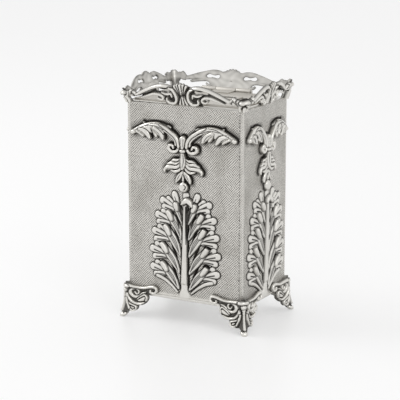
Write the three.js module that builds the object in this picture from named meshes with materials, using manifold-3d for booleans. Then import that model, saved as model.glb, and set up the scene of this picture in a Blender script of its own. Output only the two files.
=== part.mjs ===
// A silver charity box: a four-sided box with a raised palm on each side, cast feet, cast garlands,
// and a pierced gallery that leans out round a hinged lid with a coin slot.
// Millimetres, +Z up. The origin is on the floor under the middle of the box. The front faces -Y.

import * as THREE from "three";
import { mergeVertices } from "three/addons/utils/BufferGeometryUtils.js";
import Module from "manifold-3d";

const wasm = await Module();
wasm.setup();

// Driving sizes of the plain box.
const bodyWidth = 70;
const bodyDepth = 51;
const wallHeight = 103.7;
const wallThickness = 0.9;
const bottomThickness = 1.6;
const cornerLeg = 2; // each leg of the corner angle
const cornerRadius = 1;

// Cast feet.
const footHeight = 13.1; // floor to the underside of the box
const wingRise = 5.5; // how far a foot's wings climb the walls
const wingSpan = 18.5; // from the box's corner to the tip of a wing
const wingThickness = 1.6;
const footSplay = 2.7; // how far the foot's tip stands out past the corner, along each wall
const padRadius = 1.9;
const padLift = 1.2; // floor to the middle of the ball that the foot stands on
const shelfSize = 6; // the foot's bracket under the bottom plate
const shelfThickness = 1.4;
const scrollHalfWidth = 1.15;
const footRibHalfWidth = 0.9;
const scrollHoleLength = 3.4;
const scrollHoleHeight = 2.4;
const legTopRadius = 2.6;
const legTipRadius = 1.2;

// Frame round the top opening.
const frameThickness = 1.2;
const frameOverhang = 0.6; // past the walls
const frameLanding = 5.5; // from the walls' outer face to the opening
const hingeLanding = 8.5; // the same at the back, under the hinge

// Galleries and corner leaves.
const galleryHeight = 12.4;
const galleryThickness = 1.3;
const galleryLean = 22; // degrees out from upright
const galleryInset = 0.3; // the gallery's foot stands this far out from the walls' outer face
const galleryRibHalfWidth = 1;
const shellRibHalfWidth = 0.75;
const voluteRadius = 1.3;
const holeHalfLength = 4.2;
const holeHalfHeight = 1.05;
const cornerSpan = 6.6; // from the box's corner to a corner leaf's end
const cornerFoot = 4.2; // the part of that span which stands on the frame
const hipHalfWidth = 1.7;
const castSeam = 0.3; // left between neighbouring castings

// Lid and coin slot.
const lidThickness = 1.2;
const lidLap = 2.6; // how far the lid covers the frame
const slotLength = 36;
const slotWidth = 5;
const slotFrameWidth = 2;
const slotFrameHeight = 0.8;

// Hinge.
const knuckleRadius = 1.5;
const pinRadius = 0.6;
const pinClearance = 0.06;
const pinHeadRadius = 0.95;
const pinHeadLength = 0.5;
const middleKnuckleLength = 12;
const endKnuckleLength = 8.7;
const knuckleGap = 0.3;
const leafThickness = 0.6;
const lidLeafLength = 7;
const runningGap = 0.1; // between faces that slide on each other

// Catch: a knob on the lid turns an arm under the frame.
const knobRadius = 2.9;
const knobHeight = 4.4;
const spindleRadius = 1.25;
const spindleClearance = 0.08;
const knobSetback = 5.2; // from the opening's front edge to the spindle
const armReach = 8.6;
const armTail = 3;
const armWidth = 3;
const armThickness = 1;
const collarRadius = 2.6;
const nutRadius = 2.3;
const nutThickness = 1.2;
const spindleEnd = 0.5; // past the nut

// Garlands: a branching leaf drop on each wall.
const frontGarlandWidth = 62.6;
const sideGarlandWidth = 43;
const garlandDrop = 7.4; // rim line down to the garland's top
const budGap = 0.4; // between the garland's bud and the top of the palm under it
const leafHalfWidth = 2.3;
const stemHalfWidth = 1.1;
const budRadius = 2.7;
const budHeight = 2.1;
const tipBallRadius = 1.5;

// Palms: pushed out of the wall sheets from inside.
const palmWidth = 41.6;
const palmHeight = 55.4;
const palmLift = 2.5; // from the walls' lower edge
const palmTilt = 1.1; // its top leans this far to one side
const palmEmboss = 0.8; // the whole palm stands out this far, and its ridges stand on that
const fieldGap = 0.6; // gaps in it narrower than twice this are closed
const palmStemHalfWidth = 2;
const palmLeafHalfWidth = 1.5;
const fingerHalfWidth = 1.75;
const fingerRootHalfWidth = 0.6;
const reliefSink = 0.2; // castings and reliefs that are one with their back run this far into it

const overrun = 3; // cuts run this far past what they cut
const weldDistance = 0.00001; // corners nearer than this are one
const outlineTolerance = 0.2; // outlines drawn from round ends lose corners smaller than this
const meshTolerance = 0.02; // facets that stand out less than this are merged
const roundSides = 12; // facets round a pin, bore or knob
const endSides = 6; // facets round a flat form's round end

// Heights and places worked out from those sizes.
const wallFoot = footHeight + bottomThickness;
const rimHeight = wallFoot + wallHeight;
const frameTop = rimHeight + frameThickness;
const lidTop = frameTop + lidThickness;
const halfWidth = bodyWidth / 2;
const halfDepth = bodyDepth / 2;
const openingHalfWidth = halfWidth - frameLanding;
const openingFront = -halfDepth + frameLanding;
const openingBack = halfDepth - hingeLanding;
const lean = THREE.MathUtils.degToRad(galleryLean);
const hipLean = Math.atan(Math.SQRT2 * Math.tan(lean)); // the corner's own lean, seen along the diagonal
const hingeHeight = frameTop + knuckleRadius + runningGap;
const lidBack = openingBack + lidLap;
const hingePlace = lidBack + knuckleGap + knuckleRadius;
const lidFront = openingFront - lidLap;
const lidHalfWidth = openingHalfWidth + lidLap;
const knobPlace = openingFront + knobSetback;
const armTop = rimHeight - castSeam;
const garlandHeight = wallHeight - garlandDrop - palmLift - palmHeight - budGap;

// Materials.
const polished = new THREE.MeshStandardMaterial({ color: 0xd9d8d4, roughness: 0.25, metalness: 0.95 });
const hatched = new THREE.MeshStandardMaterial({ color: 0xb1b0aa, roughness: 0.5, metalness: 0.9 });
const cast = new THREE.MeshStandardMaterial({ color: 0xc4c3bd, roughness: 0.35, metalness: 0.95 });

// A closed geometry as a solid that can be joined and cut.
function solidOf(geometry) {
  const bare = geometry.clone();
  bare.deleteAttribute("normal");
  bare.deleteAttribute("uv");
  const merged = mergeVertices(bare, weldDistance);
  return new wasm.Manifold(
    new wasm.Mesh({
      numProp: 3,
      vertProperties: new Float32Array(merged.attributes.position.array),
      triVerts: new Uint32Array(merged.index.array),
    }),
  );
}

function geometryOf(solid) {
  const mesh = solid.simplify(meshTolerance).getMesh();
  const geometry = new THREE.BufferGeometry();
  geometry.setAttribute("position", new THREE.BufferAttribute(mesh.vertProperties, 3));
  geometry.setIndex(new THREE.BufferAttribute(mesh.triVerts, 1));
  const faceted = geometry.toNonIndexed();
  faceted.computeVertexNormals();
  return faceted;
}

function joined(geometries) {
  return geometries.map(solidOf).reduce((whole, next) => whole.add(next));
}

// A box from its lowest to its highest corner.
function block(low, high) {
  const geometry = new THREE.BoxGeometry(high[0] - low[0], high[1] - low[1], high[2] - low[2]);
  return geometry.translate((low[0] + high[0]) / 2, (low[1] + high[1]) / 2, (low[2] + high[2]) / 2);
}

// A round bar along Z or along X, from its low to its high end.
function rod(radius, low, high, segments) {
  const geometry = new THREE.CylinderGeometry(radius, radius, high - low, segments);
  return geometry.rotateX(Math.PI / 2).translate(0, 0, (low + high) / 2);
}

function crossRod(radius, low, high, segments) {
  const geometry = new THREE.CylinderGeometry(radius, radius, high - low, segments);
  return geometry.rotateZ(Math.PI / 2).translate((low + high) / 2, hingePlace, hingeHeight);
}

// A flat plate in the XZ plane, with its front face at y = 0 and its back at y = thickness.
function uprightPlate(shape, thickness) {
  const geometry = new THREE.ExtrudeGeometry(shape, { depth: thickness, bevelEnabled: false });
  return geometry.rotateX(Math.PI / 2).translate(0, thickness, 0);
}

// A smooth closed outline through [x, z] points, with as many chords on each stretch between two of them.
function smoothPoints(points, chords) {
  const places = points.map(([x, z]) => new THREE.Vector3(x, z, 0));
  const curve = new THREE.CatmullRomCurve3(places, true, "centripetal");
  return curve.getPoints(points.length * chords).slice(0, -1).map((p) => new THREE.Vector2(p.x, p.y));
}

// Rows of [along, up] shares as points in millimetres. hand is 1 or -1 and mirrors them.
function placed(rowsShare, along, up, hand = 1) {
  return rowsShare.map(([a, b]) => [hand * a * along, b * up]);
}

// Rows of [along, up, width] shares as places and half widths in millimetres.
function laidOut(rowsShare, along, up, barHalfWidth, hand = 1) {
  return rowsShare.map(([a, b, c]) => new THREE.Vector3(hand * a * along, b * up, c * barHalfWidth));
}

// A bar in the XZ plane that stands out to -Y along a smooth line, with its flat back at y = 0.
// Each station holds x, z and the half width there, and a half width of zero is a point.
// sides is 2 for a sharp ridge, and 3 or 4 for a round one.
function bar(stations, liftShare, steps, sides) {
  const curve = new THREE.CatmullRomCurve3(stations, false, "centripetal");
  const places = [];
  const faces = [];
  const rings = [];
  const face = (a, b, c) => {
    if (a !== b && b !== c && c !== a) faces.push(a, b, c);
  };
  for (let i = 0; i <= steps; i += 1) {
    const centre = curve.getPoint(i / steps);
    const ahead = curve.getTangent(i / steps);
    const sideways = new THREE.Vector2(-ahead.y, ahead.x).normalize();
    const first = places.length / 3;
    const pointed = centre.z === 0;
    const ring = [];
    for (let k = 0; k <= sides; k += 1) {
      const across = centre.z * Math.cos((Math.PI * k) / sides);
      const out = -centre.z * liftShare * Math.sin((Math.PI * k) / sides);
      const x = centre.x + sideways.x * across;
      const z = centre.y + sideways.y * across;
      ring.push(pointed ? first : first + k);
      if (!pointed || k === 0) places.push(x, out, z);
    }
    rings.push(ring);
  }
  for (let i = 0; i < steps; i += 1) {
    for (let k = 0; k <= sides; k += 1) {
      const next = (k + 1) % (sides + 1);
      face(rings[i][k], rings[i][next], rings[i + 1][k]);
      face(rings[i][next], rings[i + 1][next], rings[i + 1][k]);
    }
  }
  for (let k = 1; k < sides; k += 1) {
    face(rings[0][0], rings[0][k + 1], rings[0][k]);
    face(rings[steps][0], rings[steps][k], rings[steps][k + 1]);
  }
  const geometry = new THREE.BufferGeometry();
  geometry.setAttribute("position", new THREE.Float32BufferAttribute(places, 3));
  geometry.setIndex(faces);
  return geometry;
}

// A round boss with its flat back at y = 0, standing out to -Y.
function boss(x, z, radius, height, segments) {
  const profile = [
    new THREE.Vector2(0, -height),
    new THREE.Vector2(radius * 0.75, -height * 0.7),
    new THREE.Vector2(radius, 0),
    new THREE.Vector2(0, 0),
  ];
  return new THREE.LatheGeometry(profile, segments).translate(x, 0, z);
}

const box = new THREE.Group();

function addMesh(parent, name, geometry, material) {
  const mesh = new THREE.Mesh(geometry, material);
  mesh.name = name;
  parent.add(mesh);
  return mesh;
}

// The four walls in turn. Each has a group turned so that its outside faces -Y there, at its face.
const wallPlaces = [
  { name: "front", turn: 0, half: halfWidth, out: halfDepth, garlandWidth: frontGarlandWidth },
  { name: "right", turn: Math.PI / 2, half: halfDepth, out: halfWidth, garlandWidth: sideGarlandWidth },
  { name: "back", turn: Math.PI, half: halfWidth, out: halfDepth, garlandWidth: frontGarlandWidth },
  { name: "left", turn: -Math.PI / 2, half: halfDepth, out: halfWidth, garlandWidth: sideGarlandWidth },
];

// The four corners. Each has a group at the box's corner, turned so that the box lies towards -X
// and +Y there.
const cornerPlaces = [
  { name: "front_right", turn: 0, x: halfWidth, y: -halfDepth },
  { name: "back_right", turn: Math.PI / 2, x: halfWidth, y: halfDepth },
  { name: "back_left", turn: Math.PI, x: -halfWidth, y: halfDepth },
  { name: "front_left", turn: -Math.PI / 2, x: -halfWidth, y: -halfDepth },
];

// A corner casting with two arms that meet in a mitre. arm(hand) gives one arm's pieces, facing -Y, with
// the box's corner at x = 0 and the wall running along hand * X. The second arm turns onto the next wall.
function mitred(arm) {
  const far = bodyWidth;
  const frontSide = solidOf(block([-far, -far, -far], [0, far, far * 2]).rotateZ(Math.PI / 4));
  const alongFront = joined(arm(-1)).intersect(frontSide);
  const alongSide = joined(arm(1).map((piece) => piece.rotateZ(Math.PI / 2))).subtract(frontSide);
  return alongFront.add(alongSide);
}

// Palm: embossed as a whole with a scalloped edge, with ridges chased on it: a stem under a cap, five
// tiers of leaves that curl over in a bulb, and a fan of three fingers round each bulb.
// Each tier holds its bulb, its root on the stem, and its fingers' tips from the upper to the lower.
const palmTiersShare = [
  [[0.27, 0.875], [0.08, 0.7], [[0.51, 0.925], [0.67, 0.905], [0.63, 0.845]]],
  [[0.47, 0.785], [0.1, 0.55], [[0.66, 0.795], [0.81, 0.76], [0.78, 0.69]]],
  [[0.54, 0.64], [0.12, 0.38], [[0.76, 0.64], [0.895, 0.595], [0.86, 0.515]]],
  [[0.63, 0.46], [0.14, 0.21], [[0.835, 0.465], [0.95, 0.415], [0.885, 0.34]]],
  [[0.62, 0.27], [0.16, 0.05], [[0.815, 0.28], [0.935, 0.235], [0.85, 0.165]]],
];
const fingerHeadsShare = [0.95, 1.2, 1];
const palmTrunkShare = [[0, 0.03, 1.3], [0, 0.9, 1.6]];
const palmTopLobeShare = [[0.22, 0.86, 0], [0.3, 0.95, 0.9], [0.34, 1, 0.6]];
const palmSweepShare = [[0.2, 0.01, 0], [0.4, 0.075, 0.5], [0.8, 0.145, 0.5]];
const palmStemShare = [[0, 0.01, 1], [0, 0.5, 0.75], [0, 0.9, 0.6]];
const palmCapShare = [[-0.12, 0.88, 0], [0.05, 0.935, 1], [0.24, 0.885, 0.5]];

function between(fromShare, toShare, part) {
  return fromShare.map((value, i) => value + (toShare[i] - value) * part);
}

// Rows of the palm as places and half widths in millimetres. Its top leans to one side.
function palmRows(rowsShare, halfWidth, hand = 1) {
  return laidOut(rowsShare, palmWidth / 2, palmHeight, halfWidth, hand).map((row) => {
    row.x += (row.y / palmHeight) * palmTilt;
    return row;
  });
}

// The outline of what a tapered bar with round ends covers.
function covered(rows) {
  const ends = rows.map((row) => wasm.CrossSection.circle(row.z, endSides).translate([row.x, row.y]));
  return wasm.CrossSection.hull(ends);
}

function palmField() {
  const parts = [covered(palmRows(palmTrunkShare, palmStemHalfWidth))];
  for (const hand of [1, -1]) {
    for (const [bulbShare, rootShare, tipsShare] of palmTiersShare) {
      const fanShare = between(bulbShare, rootShare, 0.5);
      parts.push(covered(palmRows([[...rootShare, 1], [...bulbShare, 1]], palmLeafHalfWidth, hand)));
      tipsShare.forEach((tipShare, i) => {
        const [root] = palmRows([[...fanShare, 1]], fingerRootHalfWidth, hand);
        const [tip] = palmRows([[...tipShare, fingerHeadsShare[i]]], fingerHalfWidth, hand);
        parts.push(covered([root, tip]));
      });
    }
    parts.push(covered(palmRows(palmTopLobeShare.slice(1), fingerHalfWidth, hand)));
    parts.push(covered(palmRows(palmSweepShare.slice(1), fingerHalfWidth, hand)));
  }
  const whole = wasm.CrossSection.union(parts).offset(fieldGap, "Miter").offset(-fieldGap, "Miter");
  const outlines = whole.simplify(outlineTolerance).toPolygons();
  const [edge] = outlines.sort((a, b) => b.length - a.length);
  const outline = new wasm.CrossSection([edge]);
  return outline.extrude(palmEmboss + reliefSink).rotate([90, 0, 0]).translate([0, reliefSink, palmLift]);
}

function palmRidges() {
  const pieces = [
    bar(palmRows(palmStemShare, palmStemHalfWidth), 0.6, 2, 3),
    bar(palmRows(palmCapShare, fingerHalfWidth), 1, 2, 2),
  ];
  for (const hand of [1, -1]) {
    for (const [bulbShare, rootShare, tipsShare] of palmTiersShare) {
      const fanShare = between(bulbShare, rootShare, 0.5);
      const leafShare = [[...rootShare, 0], [...bulbShare, 1.1]];
      pieces.push(bar(palmRows(leafShare, palmLeafHalfWidth, hand), 0.9, 1, 2));
      tipsShare.forEach((tipShare, i) => {
        const startShare = between(fanShare, tipShare, 0.3);
        const rowsShare = [[...startShare, 0], [...tipShare, 0.6 * fingerHeadsShare[i]]];
        pieces.push(bar(palmRows(rowsShare, fingerHalfWidth, hand), 0.35, 1, 2));
      });
    }
  }
  return pieces.map((piece) => piece.translate(0, reliefSink - palmEmboss, palmLift));
}

function wallPanel(half) {
  const sheet = block([-half + cornerLeg, 0, 0], [half - cornerLeg, wallThickness, wallHeight]);
  return geometryOf(joined([sheet, ...palmRidges()]).add(palmField()));
}

// Corner angle: a strip bent to a right angle with a rounded outer edge.
function cornerAngle() {
  const shape = new THREE.Shape();
  shape.moveTo(-cornerLeg, 0);
  shape.lineTo(-cornerRadius, 0);
  shape.absarc(-cornerRadius, cornerRadius, cornerRadius, -Math.PI / 2, 0, false);
  shape.lineTo(0, cornerLeg);
  shape.lineTo(-wallThickness, cornerLeg);
  shape.lineTo(-wallThickness, wallThickness);
  shape.lineTo(-cornerLeg, wallThickness);
  return new THREE.ExtrudeGeometry(shape, { depth: wallHeight, bevelEnabled: false, curveSegments: 4 });
}

// Garland: two leafy arms that meet in a cup, then a sheath, hanging leaves and a bud.
// Heights are shares of the garland's height, down from its top.
const garlandArmShare = [
  [0.02, -0.4, 0.5], [0.15, -0.22, 0.6], [0.29, -0.12, 0.85],
  [0.52, -0.1, 1.3], [0.74, -0.125, 1.2], [0.97, -0.19, 0.5],
];
const garlandLobesShare = [
  [[0.34, -0.13, 0.5], [0.405, -0.18, 0.7], [0.385, -0.25, 0.4]],
  [[0.55, -0.13, 0.5], [0.66, -0.19, 0.8], [0.655, -0.26, 0.4]],
  [[0.77, -0.14, 0.5], [0.86, -0.19, 0.6], [0.865, -0.24, 0.4]],
];
const garlandStemShare = [
  [0, -0.22, 1.6], [0, -0.37, 0.8], [0, -0.395, 1.6], [0, -0.54, 1.6], [0, -0.67, 0.8], [0, -0.9, 0.7],
];
const garlandCurlShare = [[0.02, -0.38, 0.3], [0.17, -0.435, 0.9], [0.275, -0.39, 0.9], [0.24, -0.33, 0.5]];
const garlandLeavesShare = [
  [[0.02, -0.55, 0.5], [0.16, -0.6, 1.2], [0.36, -0.7, 0.35]],
  [[0.02, -0.69, 0.3], [0.08, -0.78, 0.65], [0.13, -0.87, 0]],
];
const narrowLeafShare = 0.85; // leaves on the narrow garland's arms, of those on the wide one's

function garland(width) {
  const armHalf = width / 2;
  const hangHalf = frontGarlandWidth / 2;
  const armLeaf = leafHalfWidth * (width < frontGarlandWidth ? narrowLeafShare : 1);
  const pieces = [bar(laidOut(garlandStemShare, hangHalf, garlandHeight, stemHalfWidth), 1.1, 5, 3)];
  for (const hand of [1, -1]) {
    pieces.push(bar(laidOut(garlandArmShare, armHalf, garlandHeight, armLeaf, hand), 0.85, 4, 3));
    for (const rows of garlandLobesShare) {
      pieces.push(bar(laidOut(rows, armHalf, garlandHeight, armLeaf, hand), 0.75, 2, 2));
    }
    pieces.push(bar(laidOut(garlandCurlShare, hangHalf, garlandHeight, stemHalfWidth, hand), 1.6, 3, 2));
    for (const rows of garlandLeavesShare) {
      pieces.push(bar(laidOut(rows, hangHalf, garlandHeight, leafHalfWidth, hand), 0.85, 2, 2));
    }
    const tip = garlandArmShare.at(-1);
    pieces.push(boss(hand * tip[0] * armHalf, tip[1] * garlandHeight, tipBallRadius, tipBallRadius, 6));
  }
  pieces.push(boss(0, budRadius - garlandHeight, budRadius, budHeight, 8));
  return geometryOf(joined(pieces));
}

// Gallery: half of its outline, from its foot round to the middle of its crest, as shares of its half
// length and height. It stands on the frame at its middle only, and its arms arch over to the corner leaves.
const armLowShare = 0.41;
const armHighShare = 0.56;
const galleryOutlineShare = [
  [0.36, -0.1], [0.38, 0.1], [0.43, 0.3], [0.54, 0.46], [0.66, 0.5], [0.84, 0.44],
  [1.05, armLowShare], [1.05, armHighShare],
  [0.86, 0.66], [0.68, 0.89], [0.51, 1], [0.36, 0.96], [0.25, 0.86], [0.13, 0.98], [0, 1.03],
];
const galleryHoleShare = [
  [-1, 0], [-0.75, 0.9], [-0.1, 0.5], [0.7, 1], [1, 0], [0.7, -0.8], [-0.1, -0.6], [-0.75, -0.9],
];
const galleryHoleCentreShare = [0.4, 0.67];
const galleryArmRibShare = [
  [0.24, 0.72, 0], [0.34, 0.84, 0.9], [0.5, 0.88, 1], [0.66, 0.76, 0.9], [1.1, 0.47, 0.4],
];
const galleryScrollRibShare = [[0.13, 0.14, 0], [0.28, 0.12, 0.9], [0.33, 0.24, 0.9], [0.28, 0.38, 0.6]];
const galleryRibs = [
  { steps: 4, rowsShare: galleryArmRibShare },
  { steps: 3, rowsShare: galleryScrollRibShare },
];
const shellRibsShare = [
  [[0.06, 0.52, 0], [0.09, 0.9, 1]],
  [[0.1, 0.48, 0], [0.18, 0.78, 1]],
  [[0.05, 0.44, 0], [0.08, 0.08, 1]],
];
const shellMiddleShare = [[0, 0.08, 0.8], [0, 0.5, 0.5], [0, 0.95, 1]];
const voluteShare = [0.4, 0.4];

function galleryPlate(reach, half) {
  const rightHalf = placed(galleryOutlineShare, reach, galleryHeight);
  const leftHalf = placed(galleryOutlineShare.slice(0, -1), reach, galleryHeight, -1).reverse();
  const shape = new THREE.Shape(smoothPoints([...rightHalf, ...leftHalf], 2));
  const holeShrinkShare = half / halfWidth;
  for (const hand of [1, -1]) {
    const hole = placed(galleryHoleShare, holeHalfLength * holeShrinkShare, holeHalfHeight, hand);
    const x = hand * galleryHoleCentreShare[0] * reach;
    const z = galleryHoleCentreShare[1] * galleryHeight;
    shape.holes.push(new THREE.Path(hole.map(([a, b]) => new THREE.Vector2(x + a, z + b))));
  }
  return uprightPlate(shape, galleryThickness);
}

function galleryRelief(reach) {
  const pieces = [bar(laidOut(shellMiddleShare, reach, galleryHeight, shellRibHalfWidth), 1.1, 2, 2)];
  for (const hand of [1, -1]) {
    for (const { rowsShare, steps } of galleryRibs) {
      pieces.push(bar(laidOut(rowsShare, reach, galleryHeight, galleryRibHalfWidth, hand), 1, steps, 2));
    }
    for (const rowsShare of shellRibsShare) {
      pieces.push(bar(laidOut(rowsShare, reach, galleryHeight, shellRibHalfWidth, hand), 1.1, 1, 2));
    }
    const voluteX = hand * voluteShare[0] * reach;
    pieces.push(boss(voluteX, voluteShare[1] * galleryHeight, voluteRadius, voluteRadius, 6));
  }
  return pieces.map((piece) => piece.translate(0, reliefSink, 0));
}

// Leans flat castwork out about the foot of the gallery, whose face stands a little outside the wall.
function leanedOut(pieces) {
  return pieces.map((piece) => piece.rotateX(lean).translate(0, -galleryInset, 0));
}

// What lies under the frame's top, which the galleries and corner leaves are cut off level with.
function belowFrameTop() {
  const far = bodyWidth;
  return solidOf(block([-far, -far, -far], [far, far, 0]));
}

function gallery(half) {
  const reach = half - cornerSpan - castSeam;
  const strip = block([-reach, -galleryHeight, -overrun], [reach, galleryHeight, galleryHeight + overrun]);
  const whole = joined(leanedOut([galleryPlate(reach, half), ...galleryRelief(reach)]));
  return geometryOf(whole.intersect(solidOf(strip)).subtract(belowFrameTop()));
}

// Corner leaf: from the box's corner along the wall to the end that meets a gallery's arm. Its crown
// is three-lobed.
const cornerFootShare = [[-1, -0.1], [1, -0.1], [1, 0.05], [1.12, 0.25]];
const cornerCrownShare = [[0.85, 0.58], [0.68, 0.6], [0.55, 0.48], [0.42, 0.6], [0.2, 0.62], [-0.5, 0.64]];
const cornerRibShare = [[0.94, 0.48, 0.5], [0.65, 0.42, 0.9], [0.47, 0.08, 0]];
const cornerLobeShare = [[0.28, 0.06, 0], [0.3, 0.52, 0.7]];
const hipShare = [[0, -0.1, 0.6], [0, 0.28, 1], [0, 0.54, 1], [0, 0.74, 0]];

function cornerLeaf() {
  const halves = mitred((hand) => {
    const foot = placed(cornerFootShare, cornerFoot, galleryHeight, hand);
    const end = placed([[1, armLowShare], [1, armHighShare]], cornerSpan, galleryHeight, hand);
    const crown = placed(cornerCrownShare, cornerSpan, galleryHeight, hand);
    const outline = [...foot, ...end, ...crown];
    const shape = new THREE.Shape(outline.map(([x, z]) => new THREE.Vector2(x, z)));
    const ribRows = laidOut(cornerRibShare, cornerSpan, galleryHeight, galleryRibHalfWidth, hand);
    const lobeRows = laidOut(cornerLobeShare, cornerSpan, galleryHeight, galleryRibHalfWidth, hand);
    const rib = bar(ribRows, 1, 2, 2).translate(0, reliefSink, 0);
    const lobe = bar(lobeRows, 1, 1, 2).translate(0, reliefSink, 0);
    return leanedOut([uprightPlate(shape, galleryThickness), rib, lobe]);
  });
  const hipHeight = galleryHeight / Math.cos(hipLean);
  const hip = bar(laidOut(hipShare, cornerSpan, hipHeight, hipHalfWidth), 0.9, 3, 3);
  hip.translate(0, reliefSink, 0).rotateX(hipLean).rotateZ(Math.PI / 4);
  hip.translate(galleryInset, -galleryInset, 0);
  return geometryOf(halves.add(solidOf(hip)).subtract(belowFrameTop()));
}

// Foot: two scrolled wings that wrap the corner, a ribbed leg that splays out, and a ball cut flat to
// stand on.
const wingShare = [
  [-0.1, 0.97], [0.1, 0.955], [0.4, 0.92], [0.62, 0.95], [0.86, 1.03], [1, 0.96],
  [0.98, 0.82], [0.84, 0.74], [0.72, 0.8], [0.68, 0.66], [0.58, 0.47], [0.4, 0.4],
  [0.38, 0.29], [0.25, 0.26], [0.14, 0.13], [0, 0.07], [-0.12, 0.06],
];
const wingHoleShare = [0.41, 0.63];
const wingTopRibShare = [[0.1, 0.87, 0], [0.42, 0.84, 0.8], [0.84, 0.94, 1], [0.92, 0.84, 0.7]];
const wingScrollRibShare = [
  [0.25, 0.76, 0], [0.46, 0.74, 0.7], [0.58, 0.64, 0.8], [0.5, 0.51, 0.7], [0.3, 0.49, 0],
];
const wingRibs = [
  { steps: 3, rowsShare: wingTopRibShare },
  { steps: 4, rowsShare: wingScrollRibShare },
];
const legRibsShare = [
  [[0, 0.9, 1], [0, 0.2, 0.6]],
  [[0.15, 0.88, 0.8], [0.04, 0.35, 0]],
  [[-0.15, 0.88, 0.8], [-0.04, 0.35, 0]],
];

// Below the box, a foot spreads out from the corner towards its tip, ever faster by this power.
const splayPower = 1.3;

function splayed(geometry) {
  const place = geometry.attributes.position;
  for (let i = 0; i < place.count; i += 1) {
    const dropShare = Math.min(1, Math.max(0, 1 - place.getZ(i) / footHeight));
    const out = footSplay * dropShare ** splayPower;
    place.setXYZ(i, place.getX(i) + out, place.getY(i) - out, place.getZ(i));
  }
  return geometry;
}

function foot() {
  const footTop = footHeight + wingRise;
  const wings = mitred((hand) => {
    const outline = placed(wingShare, wingSpan, footTop, hand);
    const shape = new THREE.Shape(outline.map(([x, z]) => new THREE.Vector2(x, z)));
    const holeX = hand * wingHoleShare[0] * wingSpan;
    const holeZ = wingHoleShare[1] * footTop;
    const hole = new THREE.EllipseCurve(holeX, holeZ, scrollHoleLength / 2, scrollHoleHeight / 2);
    shape.holes.push(new THREE.Path(hole.getPoints(8).slice(0, -1)));
    const pieces = [uprightPlate(shape, wingThickness)];
    for (const { rowsShare, steps } of wingRibs) {
      const rib = bar(laidOut(rowsShare, wingSpan, footTop, scrollHalfWidth, hand), 1, steps, 2);
      pieces.push(rib.translate(0, reliefSink, 0));
    }
    return pieces.map((piece) => piece.translate(0, -wingThickness, 0));
  });
  const spread = solidOf(splayed(geometryOf(wings)));
  const legRibs = legRibsShare.map((rows) => {
    const rib = bar(laidOut(rows, wingSpan, footTop, footRibHalfWidth), 1, 1, 2);
    const proud = wingThickness - reliefSink;
    return splayed(rib.rotateZ(Math.PI / 4).translate(proud, -proud, 0));
  });
  const leg = new THREE.CylinderGeometry(legTopRadius, legTipRadius, footHeight - padLift, 6, 2);
  leg.rotateX(Math.PI / 2).translate(0, 0, (footHeight + padLift) / 2);
  const ball = new THREE.SphereGeometry(padRadius, 8, 4).rotateX(Math.PI / 2).translate(0, 0, padLift);
  const shelf = block(
    [-shelfSize, -wingThickness / 2, footHeight - shelfThickness],
    [wingThickness / 2, shelfSize, footHeight],
  );
  const below = joined([splayed(leg), splayed(ball), shelf, ...legRibs]);
  const underFloor = block([-bodyWidth, -bodyWidth, -bodyWidth], [bodyWidth, bodyWidth, 0]);
  const insideBox = block([-bodyWidth, 0, footHeight], [0, bodyWidth, bodyWidth]);
  return geometryOf(spread.add(below).subtract(solidOf(underFloor)).subtract(solidOf(insideBox)));
}

// Castings and sheets on the box.
const panels = new Map([halfWidth, halfDepth].map((half) => [half, wallPanel(half)]));
const galleries = new Map([halfWidth, halfDepth].map((half) => [half, gallery(half)]));
const garlands = new Map([frontGarlandWidth, sideGarlandWidth].map((width) => [width, garland(width)]));

for (const { name, turn, half, out, garlandWidth } of wallPlaces) {
  const wall = new THREE.Group();
  wall.rotation.z = turn;
  box.add(wall);
  addMesh(wall, `${name}_panel`, panels.get(half), hatched).position.set(0, -out, wallFoot);
  addMesh(wall, `${name}_gallery`, galleries.get(half), cast).position.set(0, -out, frameTop);
  const drop = addMesh(wall, `${name}_garland`, garlands.get(garlandWidth), cast);
  drop.position.set(0, -out, rimHeight - garlandDrop);
}

const angleStrip = cornerAngle();
const leaf = cornerLeaf();
const castFoot = foot();

for (const { name, turn, x, y } of cornerPlaces) {
  const corner = new THREE.Group();
  corner.rotation.z = turn;
  corner.position.set(x, y, 0);
  box.add(corner);
  addMesh(corner, `${name}_corner_strip`, angleStrip, polished).position.z = wallFoot;
  addMesh(corner, `${name}_corner_leaf`, leaf, cast).position.z = frameTop;
  addMesh(corner, `${name}_foot`, castFoot, cast);
}

// Bottom plate and top frame.
const bottom = block([-halfWidth, -halfDepth, footHeight], [halfWidth, halfDepth, wallFoot]);
addMesh(box, "bottom_plate", bottom, polished);

const frameHalfWidth = halfWidth + frameOverhang;
const frameHalfDepth = halfDepth + frameOverhang;
const frameSheet = block(
  [-frameHalfWidth, -frameHalfDepth, rimHeight],
  [frameHalfWidth, frameHalfDepth, frameTop],
);
const mouth = block(
  [-openingHalfWidth, openingFront, rimHeight - overrun],
  [openingHalfWidth, openingBack, frameTop + overrun],
);
addMesh(box, "top_frame", geometryOf(solidOf(frameSheet).subtract(solidOf(mouth))), polished);

// Lid with its coin slot and the raised surround of the slot.
const slotPlace = (lidFront + lidBack) / 2;

function slotBlock(margin, low, high) {
  const reach = slotLength / 2 + margin;
  const side = slotWidth / 2 + margin;
  return solidOf(block([-reach, slotPlace - side, low], [reach, slotPlace + side, high]));
}

const spindleHole = rod(spindleRadius + spindleClearance, frameTop - overrun, lidTop + overrun, roundSides);
const lidSheet = solidOf(block([-lidHalfWidth, lidFront, frameTop], [lidHalfWidth, lidBack, lidTop]));
const slotCut = slotBlock(0, frameTop - overrun, lidTop + overrun);
const lid = lidSheet.subtract(slotCut).subtract(solidOf(spindleHole.translate(0, knobPlace, 0)));
addMesh(box, "lid", geometryOf(lid), polished);
const surround = slotBlock(slotFrameWidth, lidTop, lidTop + slotFrameHeight).subtract(slotCut);
addMesh(box, "slot_frame", geometryOf(surround), polished);

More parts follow.
